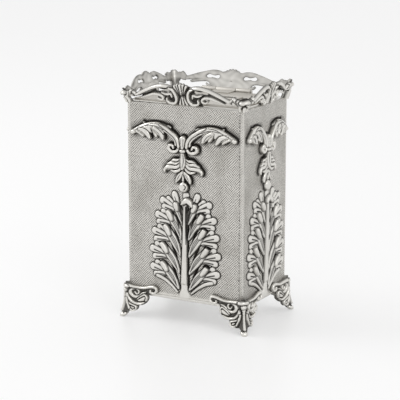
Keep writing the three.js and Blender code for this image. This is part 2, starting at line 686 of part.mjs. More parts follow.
// Hinge: two knuckles on the frame, one between them on the lid, and a pin with a head at each end.
const middleEnd = middleKnuckleLength / 2;
const outerStart = middleEnd + knuckleGap;
const outerEnd = outerStart + endKnuckleLength;

function knuckle(low, high, leafFront, leafBack, leafFoot) {
  const leafPlate = block([low, leafFront, leafFoot], [high, leafBack, leafFoot + leafThickness]);
  const bore = crossRod(pinRadius + pinClearance, low - overrun, high + overrun, roundSides);
  const barrel = crossRod(knuckleRadius, low, high, roundSides);
  return geometryOf(joined([barrel, leafPlate]).subtract(solidOf(bore)));
}

const frameLeafBack = halfDepth - galleryThickness - castSeam;
const lidLeafFront = lidBack - lidLeafLength;
const lidKnuckle = knuckle(-middleEnd, middleEnd, lidLeafFront, hingePlace, lidTop);
addMesh(box, "lid_knuckle", lidKnuckle, polished);
const leftKnuckle = knuckle(-outerEnd, -outerStart, hingePlace, frameLeafBack, frameTop);
addMesh(box, "left_frame_knuckle", leftKnuckle, polished);
const rightKnuckle = knuckle(outerStart, outerEnd, hingePlace, frameLeafBack, frameTop);
addMesh(box, "right_frame_knuckle", rightKnuckle, polished);

const pinEnd = outerEnd + runningGap;
const pin = joined([
  crossRod(pinRadius, -pinEnd, pinEnd, roundSides),
  crossRod(pinHeadRadius, -pinEnd - pinHeadLength, -pinEnd, roundSides),
  crossRod(pinHeadRadius, pinEnd, pinEnd + pinHeadLength, roundSides),
]);
addMesh(box, "hinge_pin", geometryOf(pin), polished);

// Catch: a bud-shaped knob whose spindle passes through the lid, a collar, an arm under the frame,
// and a nut.
const knobFoot = lidTop + runningGap;
const armFoot = armTop - armThickness;
const nutFoot = armFoot - nutThickness;
const knobProfileShare = [[0, 0], [0.75, 0], [0.6, 0.2], [1, 0.5], [0.85, 0.78], [0.35, 0.95], [0, 1]];
const knobProfile = knobProfileShare.map(([r, z]) => new THREE.Vector2(r * knobRadius, z * knobHeight));
const knobHead = new THREE.LatheGeometry(knobProfile, roundSides);
knobHead.rotateX(Math.PI / 2).translate(0, 0, knobFoot);
const spindle = rod(spindleRadius, nutFoot - spindleEnd, knobFoot + knobHeight / 2, roundSides);

const catchPlace = new THREE.Group();
catchPlace.position.y = knobPlace;
box.add(catchPlace);
addMesh(catchPlace, "catch_knob", geometryOf(joined([knobHead, spindle])), polished);

// A flat piece on the spindle, with its clearance hole.
function threaded(solid, low, high) {
  const hole = rod(spindleRadius + spindleClearance, low - overrun, high + overrun, roundSides);
  return geometryOf(solid.subtract(solidOf(hole)));
}

const collarTop = frameTop - runningGap;
const collar = solidOf(rod(collarRadius, armTop, collarTop, roundSides));
addMesh(catchPlace, "catch_collar", threaded(collar, armTop, collarTop), polished);

const armStart = -armTail + armWidth / 2;
const armEnd = armReach - armWidth / 2;
const arm = joined([
  block([armStart, -armWidth / 2, armFoot], [armEnd, armWidth / 2, armTop]),
  rod(armWidth / 2, armFoot, armTop, roundSides).translate(armStart, 0, 0),
  rod(armWidth / 2, armFoot, armTop, roundSides).translate(armEnd, 0, 0),
  rod(collarRadius, armFoot, armTop, roundSides),
]);
addMesh(catchPlace, "catch_arm", threaded(arm, armFoot, armTop), polished);

const nut = solidOf(rod(nutRadius, nutFoot, armFoot, 6));
addMesh(catchPlace, "catch_nut", threaded(nut, nutFoot, armFoot), polished);

export default box;
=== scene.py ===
# A silver charity box on four cast feet: hatched walls with a raised palm, cast garlands, a pierced
# gallery that leans out round the top, and a hinged lid with a coin slot.
# Metres, +Z up. The origin is on the floor under the middle of the box. The front faces -Y.

import math

import bpy
import numpy as np
from mathutils import Matrix, Vector


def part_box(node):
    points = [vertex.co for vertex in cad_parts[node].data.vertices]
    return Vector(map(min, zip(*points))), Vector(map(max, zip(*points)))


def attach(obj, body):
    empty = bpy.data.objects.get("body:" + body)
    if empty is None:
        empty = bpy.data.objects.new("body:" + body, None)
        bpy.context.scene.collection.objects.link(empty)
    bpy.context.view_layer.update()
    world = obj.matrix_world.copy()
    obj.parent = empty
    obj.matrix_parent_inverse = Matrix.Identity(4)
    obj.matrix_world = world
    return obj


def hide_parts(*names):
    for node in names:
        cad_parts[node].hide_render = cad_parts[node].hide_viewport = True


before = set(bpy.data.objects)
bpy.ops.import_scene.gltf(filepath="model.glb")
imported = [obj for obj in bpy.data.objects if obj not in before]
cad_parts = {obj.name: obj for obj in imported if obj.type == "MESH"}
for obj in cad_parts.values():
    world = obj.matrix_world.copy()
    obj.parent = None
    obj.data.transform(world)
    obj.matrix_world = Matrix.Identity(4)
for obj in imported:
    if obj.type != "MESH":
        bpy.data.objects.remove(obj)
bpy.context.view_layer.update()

# Bottom plate and top frame: rolled silver sheet, soldered under the walls and round the opening.
# Buffed bright, with a little grey where the buff doesn't reach.
mm = 0.001
near_enough = 0.01 * mm
silver_colour = (0.76, 0.745, 0.71, 1)
tarnish_colour = (0.44, 0.415, 0.37, 1)
patina_and_shade_colour = (0.02, 0.017, 0.014, 1)
cloud_size = 7 * mm
speck_size = 0.35 * mm
speck_depth = 0.02 * mm
roughness_spread = 0.16
patina_and_shade_roughness = 0.35
plate_easing = 0.25 * mm
plate_low, plate_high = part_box("bottom_plate")
frame_low, frame_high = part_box("top_frame")
half_width = plate_high.x
half_depth = plate_high.y
wall_foot = plate_high.z
rim = frame_low.z
frame_top = frame_high.z
frame_lip = 0.5 * mm
lip_reach = 0.2 * mm
ring_inset = 0.1 * mm


def add_node(tree, kind, settings=None, inputs=None):
    """A shader node with its settings made and its inputs set, or linked where a socket is given."""
    node = tree.nodes.new(kind)
    for key, value in (settings or {}).items():
        setattr(node, key, value)
    for key, value in (inputs or {}).items():
        if isinstance(value, bpy.types.NodeSocket):
            tree.links.new(value, node.inputs[key])
        else:
            node.inputs[key].default_value = value
    return node


def maths(tree, operation, *values):
    node = add_node(tree, "ShaderNodeMath", {"operation": operation}, dict(enumerate(values)))
    return node.outputs[0]


def blended(tree, share, first, second):
    """A colour between two, by a share."""
    node = add_node(tree, "ShaderNodeMix", {"data_type": "RGBA"}, {0: share, 6: first, 7: second})
    return node.outputs[2]


def noise(tree, size, detail, coordinates):
    inputs = {"Vector": coordinates, "Scale": 1 / size, "Detail": detail}
    return add_node(tree, "ShaderNodeTexNoise", None, inputs).outputs["Fac"]


def own_value(tree, name, output="Fac"):
    """What an attribute of the piece itself says."""
    return add_node(tree, "ShaderNodeAttribute", {"attribute_name": name}).outputs[output]


def silver(name, colour, roughness, tarnish_share):
    """Silver with cloudy tarnish, fine buffing marks, and a dark colour where an attribute says: patina in
    lines and hollows, and painted shade.
    """
    material = bpy.data.materials.new(name)
    material.use_nodes = True
    tree = material.node_tree
    shader = tree.nodes["Principled BSDF"]
    shader.inputs["Metallic"].default_value = 1
    place = add_node(tree, "ShaderNodeTexCoord").outputs["Object"]
    clouds = noise(tree, cloud_size, 3, place)
    specks = noise(tree, speck_size, 2, place)
    # This attribute carries patina and painted shade alike.
    patina_and_shade = own_value(tree, "patina_and_shade")
    tarnish = maths(tree, "MULTIPLY", clouds, tarnish_share)
    base = blended(tree, tarnish, colour, tarnish_colour)
    darkened = blended(tree, patina_and_shade, base, patina_and_shade_colour)
    tree.links.new(darkened, shader.inputs["Base Color"])
    least = roughness - roughness_spread / 2
    cloudy = maths(tree, "MULTIPLY_ADD", clouds, roughness_spread, least)
    dull = maths(tree, "MULTIPLY_ADD", patina_and_shade, patina_and_shade_roughness, cloudy)
    tree.links.new(dull, shader.inputs["Roughness"])
    inputs = {"Strength": 0.25, "Distance": speck_depth, "Height": specks}
    bump = add_node(tree, "ShaderNodeBump", None, inputs)
    tree.links.new(bump.outputs[0], shader.inputs["Normal"])
    return material


def select_only(piece):
    bpy.ops.object.select_all(action="DESELECT")
    piece.select_set(True)
    bpy.context.view_layer.objects.active = piece


def edit(piece, action="DESELECT"):
    """Opens one piece for editing, with nothing or all of it selected."""
    select_only(piece)
    bpy.ops.object.mode_set(mode="EDIT")
    bpy.ops.mesh.select_all(action=action)


def finish_edit():
    bpy.ops.object.mode_set(mode="OBJECT")


def shade_smooth(piece, degrees):
    """Shades a piece smooth, but for its edges that are sharper than an angle."""
    select_only(piece)
    bpy.ops.object.shade_smooth_by_angle(angle=math.radians(degrees))


def points_of(piece):
    points = np.empty(len(piece.data.vertices) * 3, np.float32)
    piece.data.vertices.foreach_get("co", points)
    return points.reshape(-1, 3).astype(float)


def set_points(piece, points):
    piece.data.vertices.foreach_set("co", points.astype(np.float32).ravel())
    piece.data.update()


def linked_copy(name, mesh):
    """A new piece in the scene, with its own copy of a mesh."""
    piece = bpy.data.objects.new(name, mesh.copy())
    bpy.context.scene.collection.objects.link(piece)
    return piece


def painted(piece, material):
    piece.data.materials.clear()
    piece.data.materials.append(material)


def eased_copy(node, easing, material, body):
    """A copy of a CAD node with its doubles merged and its edges rounded, which stands for the node."""
    piece = linked_copy(node + "_finished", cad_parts[node].data)
    edit(piece, "SELECT")
    bpy.ops.mesh.remove_doubles(threshold=0.001 * mm)
    bpy.ops.mesh.dissolve_limited(angle_limit=math.radians(1))
    finish_edit()
    bevel = piece.modifiers.new("eased", "BEVEL")
    bevel.width = easing
    bevel.segments = 2
    bevel.limit_method = "ANGLE"
    bevel.angle_limit = math.radians(40)
    bpy.ops.object.modifier_apply(modifier=bevel.name)
    shade_smooth(piece, 35)
    painted(piece, material)
    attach(piece, body)
    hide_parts(node)
    return piece


polished = silver("polished_silver", silver_colour, 0.3, 0.3)
eased_copy("bottom_plate", plate_easing, polished, "box")
frame_ring = eased_copy("top_frame", plate_easing, polished, "box")
lip_foot = frame_top - frame_lip
edit(frame_ring, "SELECT")
bpy.ops.mesh.bisect(plane_co=(0, 0, lip_foot), plane_no=(0, 0, 1))
finish_edit()
ring_points = points_of(frame_ring)
in_lip = ring_points[:, 2] > lip_foot - near_enough
for axis, half in ((0, half_width), (1, half_depth)):
    limit = np.where(in_lip, half + lip_reach, half - ring_inset)
    ring_points[:, axis] = ring_points[:, axis].clip(-limit, limit)
set_points(frame_ring, ring_points)

# Walls: four silver sheets, hatched by hand with a graver, each with a palm raised in it from the
# back and chased from the front. Black patina is left in the chased lines. Some inked cuts on the palm,
# a row of dots along one seam, and the wall round each garland carry painted shade.
sheet_thickness = 0.9 * mm
sheet_top = lip_foot - 0.05 * mm
strip_leg = 2 * mm
field_edge = 0.2 * mm
palm_half_width = 20.8 * mm
palm_foot = wall_foot + 2.5 * mm
palm_height = 55.4 * mm
palm_tilt = 1.1 * mm
palm_margin = 2.2 * mm
finger_half_width = 1.62 * mm
chased_half_width = 0.24 * mm
chased_depth = 0.3 * mm
hatch_pitch = 1.35 * mm
hatch_wander = 2.4 * mm
hatch_depth = 0.2 * mm
wobble_size = 9 * mm
dash_size = 1.1 * mm
patch_size = 6 * mm
stain_size = 17 * mm
# Painted shade in the seam next to a corner strip, as a row of dots: their pitch, their band from the seam,
# and the size of the patches where they fade.
seam_dot_pitch = 1.9 * mm
seam_dot_band = (0.75 * mm, 0.45 * mm)
seam_dot_patch_size = 3 * mm
hatched_colour = (0.86, 0.84, 0.795, 1)
stain_colour = (0.36, 0.34, 0.3, 1)
stroke_colour = (0.06, 0.056, 0.052, 1)
line_steps = 8
far_off = 1.0
walls = {
    "front": (0, half_width, half_depth),
    "right": (math.pi / 2, half_depth, half_width),
    "back": (math.pi, half_width, half_depth),
    "left": (-math.pi / 2, half_depth, half_width),
}


def smooth_line(rows):
    """A smooth line through rows of (x, z, half width)."""
    points = np.array(rows, float)
    points = np.vstack([2 * points[0] - points[1], points, 2 * points[-1] - points[-2]])
    t = np.linspace(0, 1, line_steps, endpoint=False)[:, None]
    spans = []
    for a, b, c, d in zip(points, points[1:], points[2:], points[3:]):
        bend = 2 * a - 5 * b + 4 * c - d
        twist = 3 * b - a - 3 * c + d
        spans.append(b + (c - a) * t / 2 + bend * t**2 / 2 + twist * t**3 / 2)
    line = np.vstack([*spans, points[-2:-1]])
    line[:, 2] = line[:, 2].clip(0.02 * mm)
    return line


class Relief:
    """Metal raised over a flat ground and chased along lines: a height, a share of darkening and a share of
    plain, uncut metal at each spot. The darkening is patina in the lines, and painted shade where a cut
    stands for shade. outside is how far a spot lies outside all that was raised."""

    def __init__(self, spots, ground, groove):
        self.spots = spots
        self.groove = groove
        self.height = np.full(len(spots), float(ground))
        self.patina_and_shade = np.zeros(len(spots))
        self.plain = np.zeros(len(spots))
        self.outside = np.full(len(spots), far_off)

    def near(self, line):
        """The spots near a line, how far outside it they lie, and its half width next to them."""
        margin = line[:, 2].max() + 4 * self.groove
        low = line[:, :2].min(0) - margin
        high = line[:, :2].max(0) + margin
        index = np.flatnonzero(((self.spots > low) & (self.spots < high)).all(1))
        spots = self.spots[index]
        outside = np.full(len(index), far_off)
        half = np.ones(len(index))
        for a, b in zip(line, line[1:]):
            step = b - a
            middle = (a + b)[:2] / 2
            reach = margin + np.hypot(step[0], step[1]) / 2
            close = np.flatnonzero((abs(spots - middle) < reach).all(1))
            length = max(step[:2] @ step[:2], 1e-12)
            t = (((spots[close] - a[:2]) @ step[:2]) / length).clip(0, 1)
            radius = a[2] + t * step[2]
            away = np.hypot(*(spots[close] - a[:2] - t[:, None] * step[:2]).T) - radius
            closer = away < outside[close]
            outside[close[closer]] = away[closer]
            half[close[closer]] = radius[closer]
        return index, outside, half

    def raised(self, rows, base, crown, darkened=1.0):
        """A rounded bar that covers what lies under it, with an inked groove all round its foot."""
        index, outside, half = self.near(smooth_line(rows))
        cover = (0.5 - outside / (1.2 * self.groove)).clip(0, 1)
        across = (1 + outside / half).clip(0, 1)
        dome = base + crown * np.sqrt(1 - across**2)
        groove = np.exp(-((outside - self.groove) / self.groove) ** 2)
        groove[outside > 3 * self.groove] = 0
        ground = self.height[index] * (1 - cover)
        self.height[index] = ground + dome * cover - groove * chased_depth * darkened
        self.patina_and_shade[index] = np.maximum(self.patina_and_shade[index] * (1 - cover), groove * darkened)
        self.plain[index] = np.maximum(self.plain[index], cover)
        self.outside[index] = np.minimum(self.outside[index], outside)

    def from_outline(self, outline):
        """How far every spot lies outside a closed outline."""
        x, z = self.spots.T
        away = np.full(len(self.spots), far_off)
        inside = np.zeros(len(self.spots), bool)
        for a, b in zip(outline, np.roll(outline, -1, 0)):
            step = b - a
            t = (((self.spots - a) @ step) / (step @ step)).clip(0, 1)
            away = np.minimum(away, np.hypot(*(self.spots - a - t[:, None] * step).T))
            if a[1] != b[1]:
                passed = (a[1] > z) != (b[1] > z)
                inside ^= passed & (x < a[0] + (z - a[1]) * step[0] / step[1])
        return np.where(inside, -away, away)

    def plate(self, outline, height, darkened):
        """Flat metal inside an outline, which lies under what is raised on it later."""
        outside = self.from_outline(outline)
        self.height[outside < self.groove] = height
        self.patina_and_shade[outside < self.groove] = darkened
        self.outside = np.minimum(self.outside, outside)

    def pierced(self, outline):
        """A hole inside an outline."""
        self.outside = np.maximum(self.outside, -self.from_outline(outline))

    def cut(self, rows, depth, darkened=1.0):
        """A groove cut by a chasing tool, as wide as its rows say."""
        index, outside, half = self.near(smooth_line(rows))
        share = (-outside / half).clip(0, 1)
        self.height[index] -= depth * share
        self.patina_and_shade[index] = np.maximum(self.patina_and_shade[index], darkened * (share * 1.6).clip(0, 1))


palm_tiers = [
    {"bulb": (0.27, 0.875), "root": (0.08, 0.7), "tips": [(0.51, 0.925), (0.67, 0.905), (0.63, 0.845)]},
    {"bulb": (0.47, 0.785), "root": (0.1, 0.55), "tips": [(0.66, 0.795), (0.81, 0.76), (0.78, 0.69)]},
    {"bulb": (0.54, 0.64), "root": (0.12, 0.38), "tips": [(0.76, 0.64), (0.895, 0.595), (0.86, 0.515)]},
    {"bulb": (0.63, 0.46), "root": (0.14, 0.21), "tips": [(0.835, 0.465), (0.95, 0.415), (0.885, 0.34)]},
    {"bulb": (0.62, 0.27), "root": (0.16, 0.05), "tips": [(0.815, 0.28), (0.935, 0.235), (0.85, 0.165)]},
]
finger_bases = (0.25 * mm, 0.45 * mm, 0.35 * mm)
finger_heads = (0.95, 1.2, 1.0)
palm_top_leaf = [(0.2, 0.84, 0.5), (0.27, 0.92, 0.95), (0.33, 0.975, 1.15)]
palm_top_vein = [(0.22, 0.86, 0.12), (0.27, 0.92, 0.2), (0.31, 0.955, 0.16)]
palm_sweep = [(0.2, 0.01, 0.3), (0.4, 0.075, 0.5), (0.62, 0.125, 0.6), (0.8, 0.145, 0.6)]
palm_flank = [(0.13, 0.015, 0.1), (0.12, 0.12, 0.4), (0.09, 0.5, 0.3), (0.07, 0.86, 0.2)]
palm_stem = [(0, 0.02, 1.25), (0, 0.1, 1.2), (0, 0.5, 0.85), (0, 0.9, 0.6)]
# Painted shade: a dark line down the stem's right side, where the round stem turns from the light.
palm_stem_shade_line = [(0.03, 0.87, 0.28), (0.042, 0.7, 0.34), (0.05, 0.5, 0.12)]
palm_stem_foot = [(0, -0.025, 2.1), (0, 0.02, 1.5), (0, 0.07, 1.2)]
palm_cap = [
    (-0.08, 0.893, 0.4), (-0.02, 0.918, 0.8), (0.06, 0.93, 0.95), (0.14, 0.915, 0.85), (0.2, 0.885, 0.5),
]
palm_cap_line = [(-0.09, 0.882, 0.2), (-0.01, 0.886, 0.3), (0.07, 0.905, 0.22)]


def between(a, b, share):
    return (a[0] + (b[0] - a[0]) * share, a[1] + (b[1] - a[1]) * share)


def palm_rows(shares, hand=1):
    """Rows of (across, up, width) shares of the palm as places and half widths in metres."""
    return [
        (hand * u * palm_half_width + v * palm_tilt, palm_foot + v * palm_height, w * finger_half_width)
        for u, v, w in shares
    ]


def palm_finger(relief, start, tip, hand, base, head):
    """One finger of a fan, with a line cut along it."""
    middle = between(start, tip, 0.5)
    rows = [(*start, 0.3), (middle[0] - 0.02, middle[1] + 0.012, 0.65 * head), (*tip, head)]
    relief.raised(palm_rows(rows, hand), base, 0.6 * mm)
    low = between(start, tip, 0.25)
    high = between(start, tip, 0.9)
    vein = [(*low, 0.14), (middle[0] - 0.01, middle[1] + 0.006, 0.24), (*high, 0.3)]
    relief.cut(palm_rows(vein, hand), 0.35 * mm)


def palm_leaf(relief, bulb, root, hand):
    """A leaf that runs up from the stem and curls over in a bulb, with dark lines down it. A wedge cut
    under the bulb is inked as painted shadow of the curl in the hollow beneath it, and on the right hand
    an inked hook over the bulb is painted shade on its top.
    """
    u, v = bulb
    middle = between(bulb, root, 0.5)
    bow = (middle[0] - 0.025, middle[1])
    relief.raised(palm_rows([(*root, 0.4), (*bow, 1.35), (*bulb, 1.0)], hand), 0.6 * mm, 0.5 * mm)
    low = between(bulb, root, 0.92)
    high = between(bulb, root, 0.2)
    for side in (-0.06, -0.015, 0.03):
        line = [(*low, 0.1), (bow[0] + side, bow[1], 0.17), (high[0] + side, high[1], 0.16)]
        relief.cut(palm_rows(line, hand), 0.35 * mm, 0.9)
    knob = [(*between(bulb, root, t), w) for t, w in ((0.22, 0.7), (0.06, 0.95), (-0.05, 0.85))]
    relief.raised(palm_rows(knob, hand), 0.9 * mm, 1.5 * mm)
    # Painted shadow: a wedge cut and inked dark in the hollow under the curled bulb.
    shadow_wedge = [(u * 0.66, v + 0.02, 0.15), (u * 0.5, v - 0.045, 0.7), (u * 0.3 + 0.02, v - 0.14, 0.1)]
    relief.cut(palm_rows(shadow_wedge, hand), 0.6 * mm, 0.9)
    # Painted shade: a dark inked hook over the bulbs on the right hand only.
    if hand > 0:
        shade_hook = [
            (u - 0.11, v + 0.022, 0.12), (u - 0.03, v + 0.042, 0.4), (u + 0.07, v + 0.03, 0.35),
            (u + 0.12, v - 0.005, 0.12),
        ]
        relief.cut(palm_rows(shade_hook, hand), 0.5 * mm, 0.95)


def palm_on(relief):
    """The palm: five tiers of leaves on each side of a stem, each a fan of three fingers behind a
    leaf that curls over in a bulb."""
    relief.raised(palm_rows([(0, 0.88, 0.6), (0, 0.975, 1.2)]), 0.2 * mm, 0.6 * mm)
    for hand in (1, -1):
        relief.raised(palm_rows(palm_top_leaf, hand), 0.25 * mm, 0.8 * mm)
        relief.cut(palm_rows(palm_top_vein, hand), 0.3 * mm, 0.9)
    for tier in palm_tiers:
        start = between(tier["bulb"], tier["root"], 0.5)
        for hand in (1, -1):
            for tip, base, head in zip(tier["tips"], finger_bases, finger_heads):
                palm_finger(relief, start, tip, hand, base, head)
            palm_leaf(relief, tier["bulb"], tier["root"], hand)
    for hand in (1, -1):
        relief.raised(palm_rows(palm_sweep, hand), 0.2 * mm, 0.7 * mm)
        relief.cut(palm_rows(palm_flank, hand), 0.9 * mm)
    relief.raised(palm_rows(palm_stem), 0.7 * mm, 1.2 * mm)
    # An inked cut down the right of the stem only, as painted shade.
    relief.cut(palm_rows(palm_stem_shade_line), 0.2 * mm, 0.95)
    relief.raised(palm_rows(palm_stem_foot), 0.1 * mm, 1.1 * mm, 0)
    relief.raised(palm_rows(palm_cap), 1.2 * mm, 1.3 * mm)
    relief.cut(palm_rows(palm_cap_line), 0.6 * mm)


def set_attribute(piece, name, values):
    attribute = piece.data.attributes.new(name, "FLOAT", "POINT")
    attribute.data.foreach_set("value", np.asarray(values, np.float32))


def set_place(piece, places):
    """Where each point lies in the pattern of strokes."""
    place = piece.data.attributes.new("place", "FLOAT_VECTOR", "POINT")
    place.data.foreach_set("vector", places.astype(np.float32).ravel())


def edit_faces(piece, chosen):
    """Opens a piece for editing with only some of its faces selected."""
    edit(piece)
    finish_edit()
    piece.data.polygons.foreach_set("select", chosen)
    bpy.ops.object.mode_set(mode="EDIT")


def divide_front(piece, low, high, cuts):
    """Divides a field of a sheet's front finely: it is cut out by four planes, then subdivided."""
    planes = [((x, 0, 0), (1, 0, 0)) for x in (low[0], high[0])]
    planes += [((0, 0, z), (0, 0, 1)) for z in (low[1], high[1])]
    edit(piece)
    for place, normal in planes:
        bpy.ops.mesh.select_all(action="SELECT")
        bpy.ops.mesh.bisect(plane_co=place, plane_no=normal)
    finish_edit()
    chosen = []
    for face in piece.data.polygons:
        middle = face.center
        inside = low[0] < middle.x < high[0] and low[1] < middle.z < high[1]
        chosen.append(inside and face.normal.y < -0.9)
    edit_faces(piece, chosen)
    for cut in cuts:
        bpy.ops.mesh.subdivide(number_cuts=cut)
    finish_edit()


def wall_sheet(half):
    """One wall's sheet with its palm, in the wall's own place: x along it, its face at y = 0."""
    reach = half - strip_leg
    middle = (0, sheet_thickness / 2, (wall_foot + sheet_top) / 2)
    bpy.ops.mesh.primitive_cube_add(size=1, location=middle)
    piece = bpy.context.object
    piece.scale = (2 * reach, sheet_thickness, sheet_top - wall_foot)
    bpy.ops.object.transform_apply(location=True, rotation=False, scale=True)
    across = min(palm_half_width + palm_margin, reach - field_edge)
    palm_top = palm_foot + palm_height + palm_margin
    divide_front(piece, (-across, palm_foot - palm_margin), (across, palm_top), (12, 15))
    across = reach - field_edge
    divide_front(piece, (-across, palm_top + 0.1 * mm), (across, rim - 4 * mm), (10, 11))
    points = points_of(piece)
    front = np.flatnonzero(points[:, 1] < near_enough)
    relief = Relief(points[front][:, [0, 2]], 0, chased_half_width)
    palm_on(relief)
    points[front, 1] = -relief.height
    set_points(piece, points)
    for name, values in (("patina_and_shade", relief.patina_and_shade), ("plain", relief.plain)):
        everywhere = np.zeros(len(points))
        everywhere[front] = values
        set_attribute(piece, name, everywhere)
    # Only the front and back walls get the row of painted shade by their seam.
    seam = reach if half == half_width else far_off
    set_attribute(piece, "seam", np.full(len(points), seam))
    set_place(piece, points)
    shade_smooth(piece, 80)
    return piece


def put_round(piece, turn, out):
    """Carries a piece from the wall's own place, facing -Y, to its wall."""
    piece.data.transform(Matrix.Rotation(turn, 4, "Z") @ Matrix.Translation((0, -out, 0)))


def ramp(tree, value, low, high, least=0, most=1, shape="LINEAR"):
    """A share that goes from least to most as a value goes from low to high."""
    inputs = {"Value": value, "From Min": low, "From Max": high, "To Min": least, "To Max": most}
    return add_node(tree, "ShaderNodeMapRange", {"interpolation_type": shape}, inputs).outputs["Result"]


def stroke_pattern(tree, place, along, up):
    """Slanting strokes that cross: one way in some patches, and the other way in the rest."""
    wobble = maths(tree, "MULTIPLY", noise(tree, wobble_size, 2, place), hatch_wander)
    wandering = maths(tree, "ADD", along, wobble)
    strokes = []
    for sign in (1, -1):
        slant = maths(tree, "MULTIPLY_ADD", up, sign, wandering)
        wave = maths(tree, "SINE", maths(tree, "MULTIPLY", slant, 2 * math.pi / hatch_pitch))
        deep = maths(tree, "SMOOTH_MAX", wave, 0, 0.2)
        dashes = noise(tree, dash_size, 1, place)
        strokes.append(maths(tree, "MULTIPLY", deep, maths(tree, "MULTIPLY_ADD", dashes, 1.6, 0.1)))
    share = ramp(tree, noise(tree, patch_size, 1, place), 0.4, 0.6, 0.25, 0.75, "SMOOTHSTEP")
    first = maths(tree, "MULTIPLY", strokes[0], share)
    second = maths(tree, "MULTIPLY", strokes[1], maths(tree, "SUBTRACT", 1, share))
    return maths(tree, "ADD", first, second)


def seam_shade_dots(tree, place, along, up):
    """A row of dark dots painted along one edge of a wall next to a seam, some dark and some faint:
    painted shade in the seam.
    """
    from_seam = maths(tree, "SUBTRACT", own_value(tree, "seam"), along)
    band = ramp(tree, from_seam, *seam_dot_band)
    wave = maths(tree, "SINE", maths(tree, "MULTIPLY", up, 2 * math.pi / seam_dot_pitch))
    dots = maths(tree, "MULTIPLY", band, ramp(tree, wave, -0.3, 0.5))
    uneven = ramp(tree, noise(tree, seam_dot_patch_size, 1, place), 0.35, 0.6)
    return maths(tree, "MULTIPLY", dots, maths(tree, "MULTIPLY_ADD", uneven, 0.6, 0.25))


def hatched_silver():
    """Silver cut with a graver, with grey in the strokes, painted shade in dots along a seam, dark stains,
    and raised metal left bright.
    """
    material = silver("hatched_silver", hatched_colour, 0.42, 0.35)
    tree = material.node_tree
    shader = tree.nodes["Principled BSDF"]
    place = own_value(tree, "place", "Vector")
    plain = own_value(tree, "plain")
    split = add_node(tree, "ShaderNodeSeparateXYZ", None, {0: place})
    along, up = split.outputs["X"], split.outputs["Z"]
    hatch = stroke_pattern(tree, place, along, up)
    low_edge = ramp(tree, up, wall_foot + 0.5 * mm, wall_foot + 1.8 * mm)
    high_edge = ramp(tree, up, sheet_top - 0.1 * mm, sheet_top - 0.5 * mm)
    field = maths(tree, "MULTIPLY", low_edge, high_edge)
    bare = maths(tree, "SUBTRACT", 1, plain)
    cut = maths(tree, "MULTIPLY", hatch, maths(tree, "MULTIPLY", bare, field))
    settings = {"operation": "MULTIPLY", "use_clamp": True}
    grey = add_node(tree, "ShaderNodeMath", settings, {0: cut, 1: 1.25}).outputs[0]
    # The painted shade in the seam darkens the colour like the strokes.
    grey = maths(tree, "MAXIMUM", grey, seam_shade_dots(tree, place, along, up))
    stain = ramp(tree, noise(tree, stain_size, 3, place), 0.45, 0.65, 0, 0.3, "SMOOTHSTEP")
    base = shader.inputs["Base Color"].links[0].from_socket
    stained = blended(tree, stain, base, stain_colour)
    darker = blended(tree, grey, stained, stroke_colour)
    brighter = blended(tree, maths(tree, "MULTIPLY", plain, 0.7), darker, silver_colour)
    darkened = blended(tree, own_value(tree, "patina_and_shade"), brighter, patina_and_shade_colour)
    tree.links.new(darkened, shader.inputs["Base Color"])
    buffed = shader.inputs["Normal"].links[0].from_socket
    inputs = {"Strength": 0.8, "Distance": hatch_depth, "Height": cut, "Normal": buffed}
    bump = add_node(tree, "ShaderNodeBump", {"invert": True}, inputs)
    tree.links.new(bump.outputs[0], shader.inputs["Normal"])
    return material


hatched = hatched_silver()
sheets = {half: wall_sheet(half) for half in (half_width, half_depth)}
for wall, (turn, half, out) in walls.items():
    piece = linked_copy(wall + "_wall", sheets[half].data)
    put_round(piece, turn, out)
    painted(piece, hatched)
    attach(piece, "box")
    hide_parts(wall + "_panel")
for sheet in sheets.values():
    bpy.data.objects.remove(sheet)

# Corner strips: bent angles of thin sheet soldered over the walls' edges, hatched faintly so that they
# match, and rubbed bright along the corner.
corners = {
    "front_right": (0, half_width, -half_depth),
    "back_right": (math.pi / 2, half_width, half_depth),
    "back_left": (math.pi, -half_width, half_depth),
    "front_left": (-math.pi / 2, -half_width, -half_depth),
}
strip_easing = 0.15 * mm
ridge_cut = 0.5 * mm
ridge_width = 0.4 * mm
strip_hatch = 0.2
ridge_planes = (
    (Vector((half_width - ridge_cut, 0, 0)), (1, 0, 0)),
    (Vector((0, half_depth - ridge_cut, 0)), (0, 1, 0)),
)

for corner in corners:
    strip = eased_copy(corner + "_corner_strip", strip_easing, hatched, "box")
    edit(strip)
    for place, normal in ridge_planes:
        for hand in (1, -1):
            bpy.ops.mesh.select_all(action="SELECT")
            bpy.ops.mesh.bisect(plane_co=hand * place, plane_no=normal)
    finish_edit()
    points = points_of(strip)
    points[:, 2] = np.where(points[:, 2] > rim - 1 * mm, points[:, 2] - rim + sheet_top, points[:, 2])
    set_points(strip, points)
    from_corner = np.maximum(half_width - abs(points[:, 0]), half_depth - abs(points[:, 1]))
    set_attribute(strip, "patina_and_shade", np.zeros(len(points)))
    set_attribute(strip, "plain", np.where(from_corner < ridge_width, 1, strip_hatch))
    set_attribute(strip, "seam", np.full(len(points), far_off))
    set_place(strip, np.stack([points[:, 0] + points[:, 1], points[:, 1], points[:, 2]], 1))

# Garlands: cast silver drops of leaves, two arms from a cup and a bud below, soldered on the walls.
# Bright on the ribs and black in the lines between them, with painted shadow on the wall round them.
garland_low, garland_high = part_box("front_garland")
garland_height = garland_high.z - garland_low.z
garland_foot = garland_low.z
hang_half_width = garland_high.x
garland_arms = {half_width: hang_half_width, half_depth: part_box("right_garland")[1].y}
garland_thickness = 0.9 * mm
garland_easing = 0.35 * mm
garland_margin = 1 * mm
casting_step = 0.2 * mm
line_half_width = 1 * mm
cast_groove = 0.2 * mm
casting_angle = 75
# Painted shade on the castings' backs, and how unevenly it lies.
back_shade = 0.24
back_mottle = 0.12
# Painted shadow round each garland on its wall: how far it is shifted, and its near and far spread.
shadow_shift = (0.15 * mm, 0.3 * mm)
shadow_near = 0.6 * mm
shadow_far = 2.4 * mm

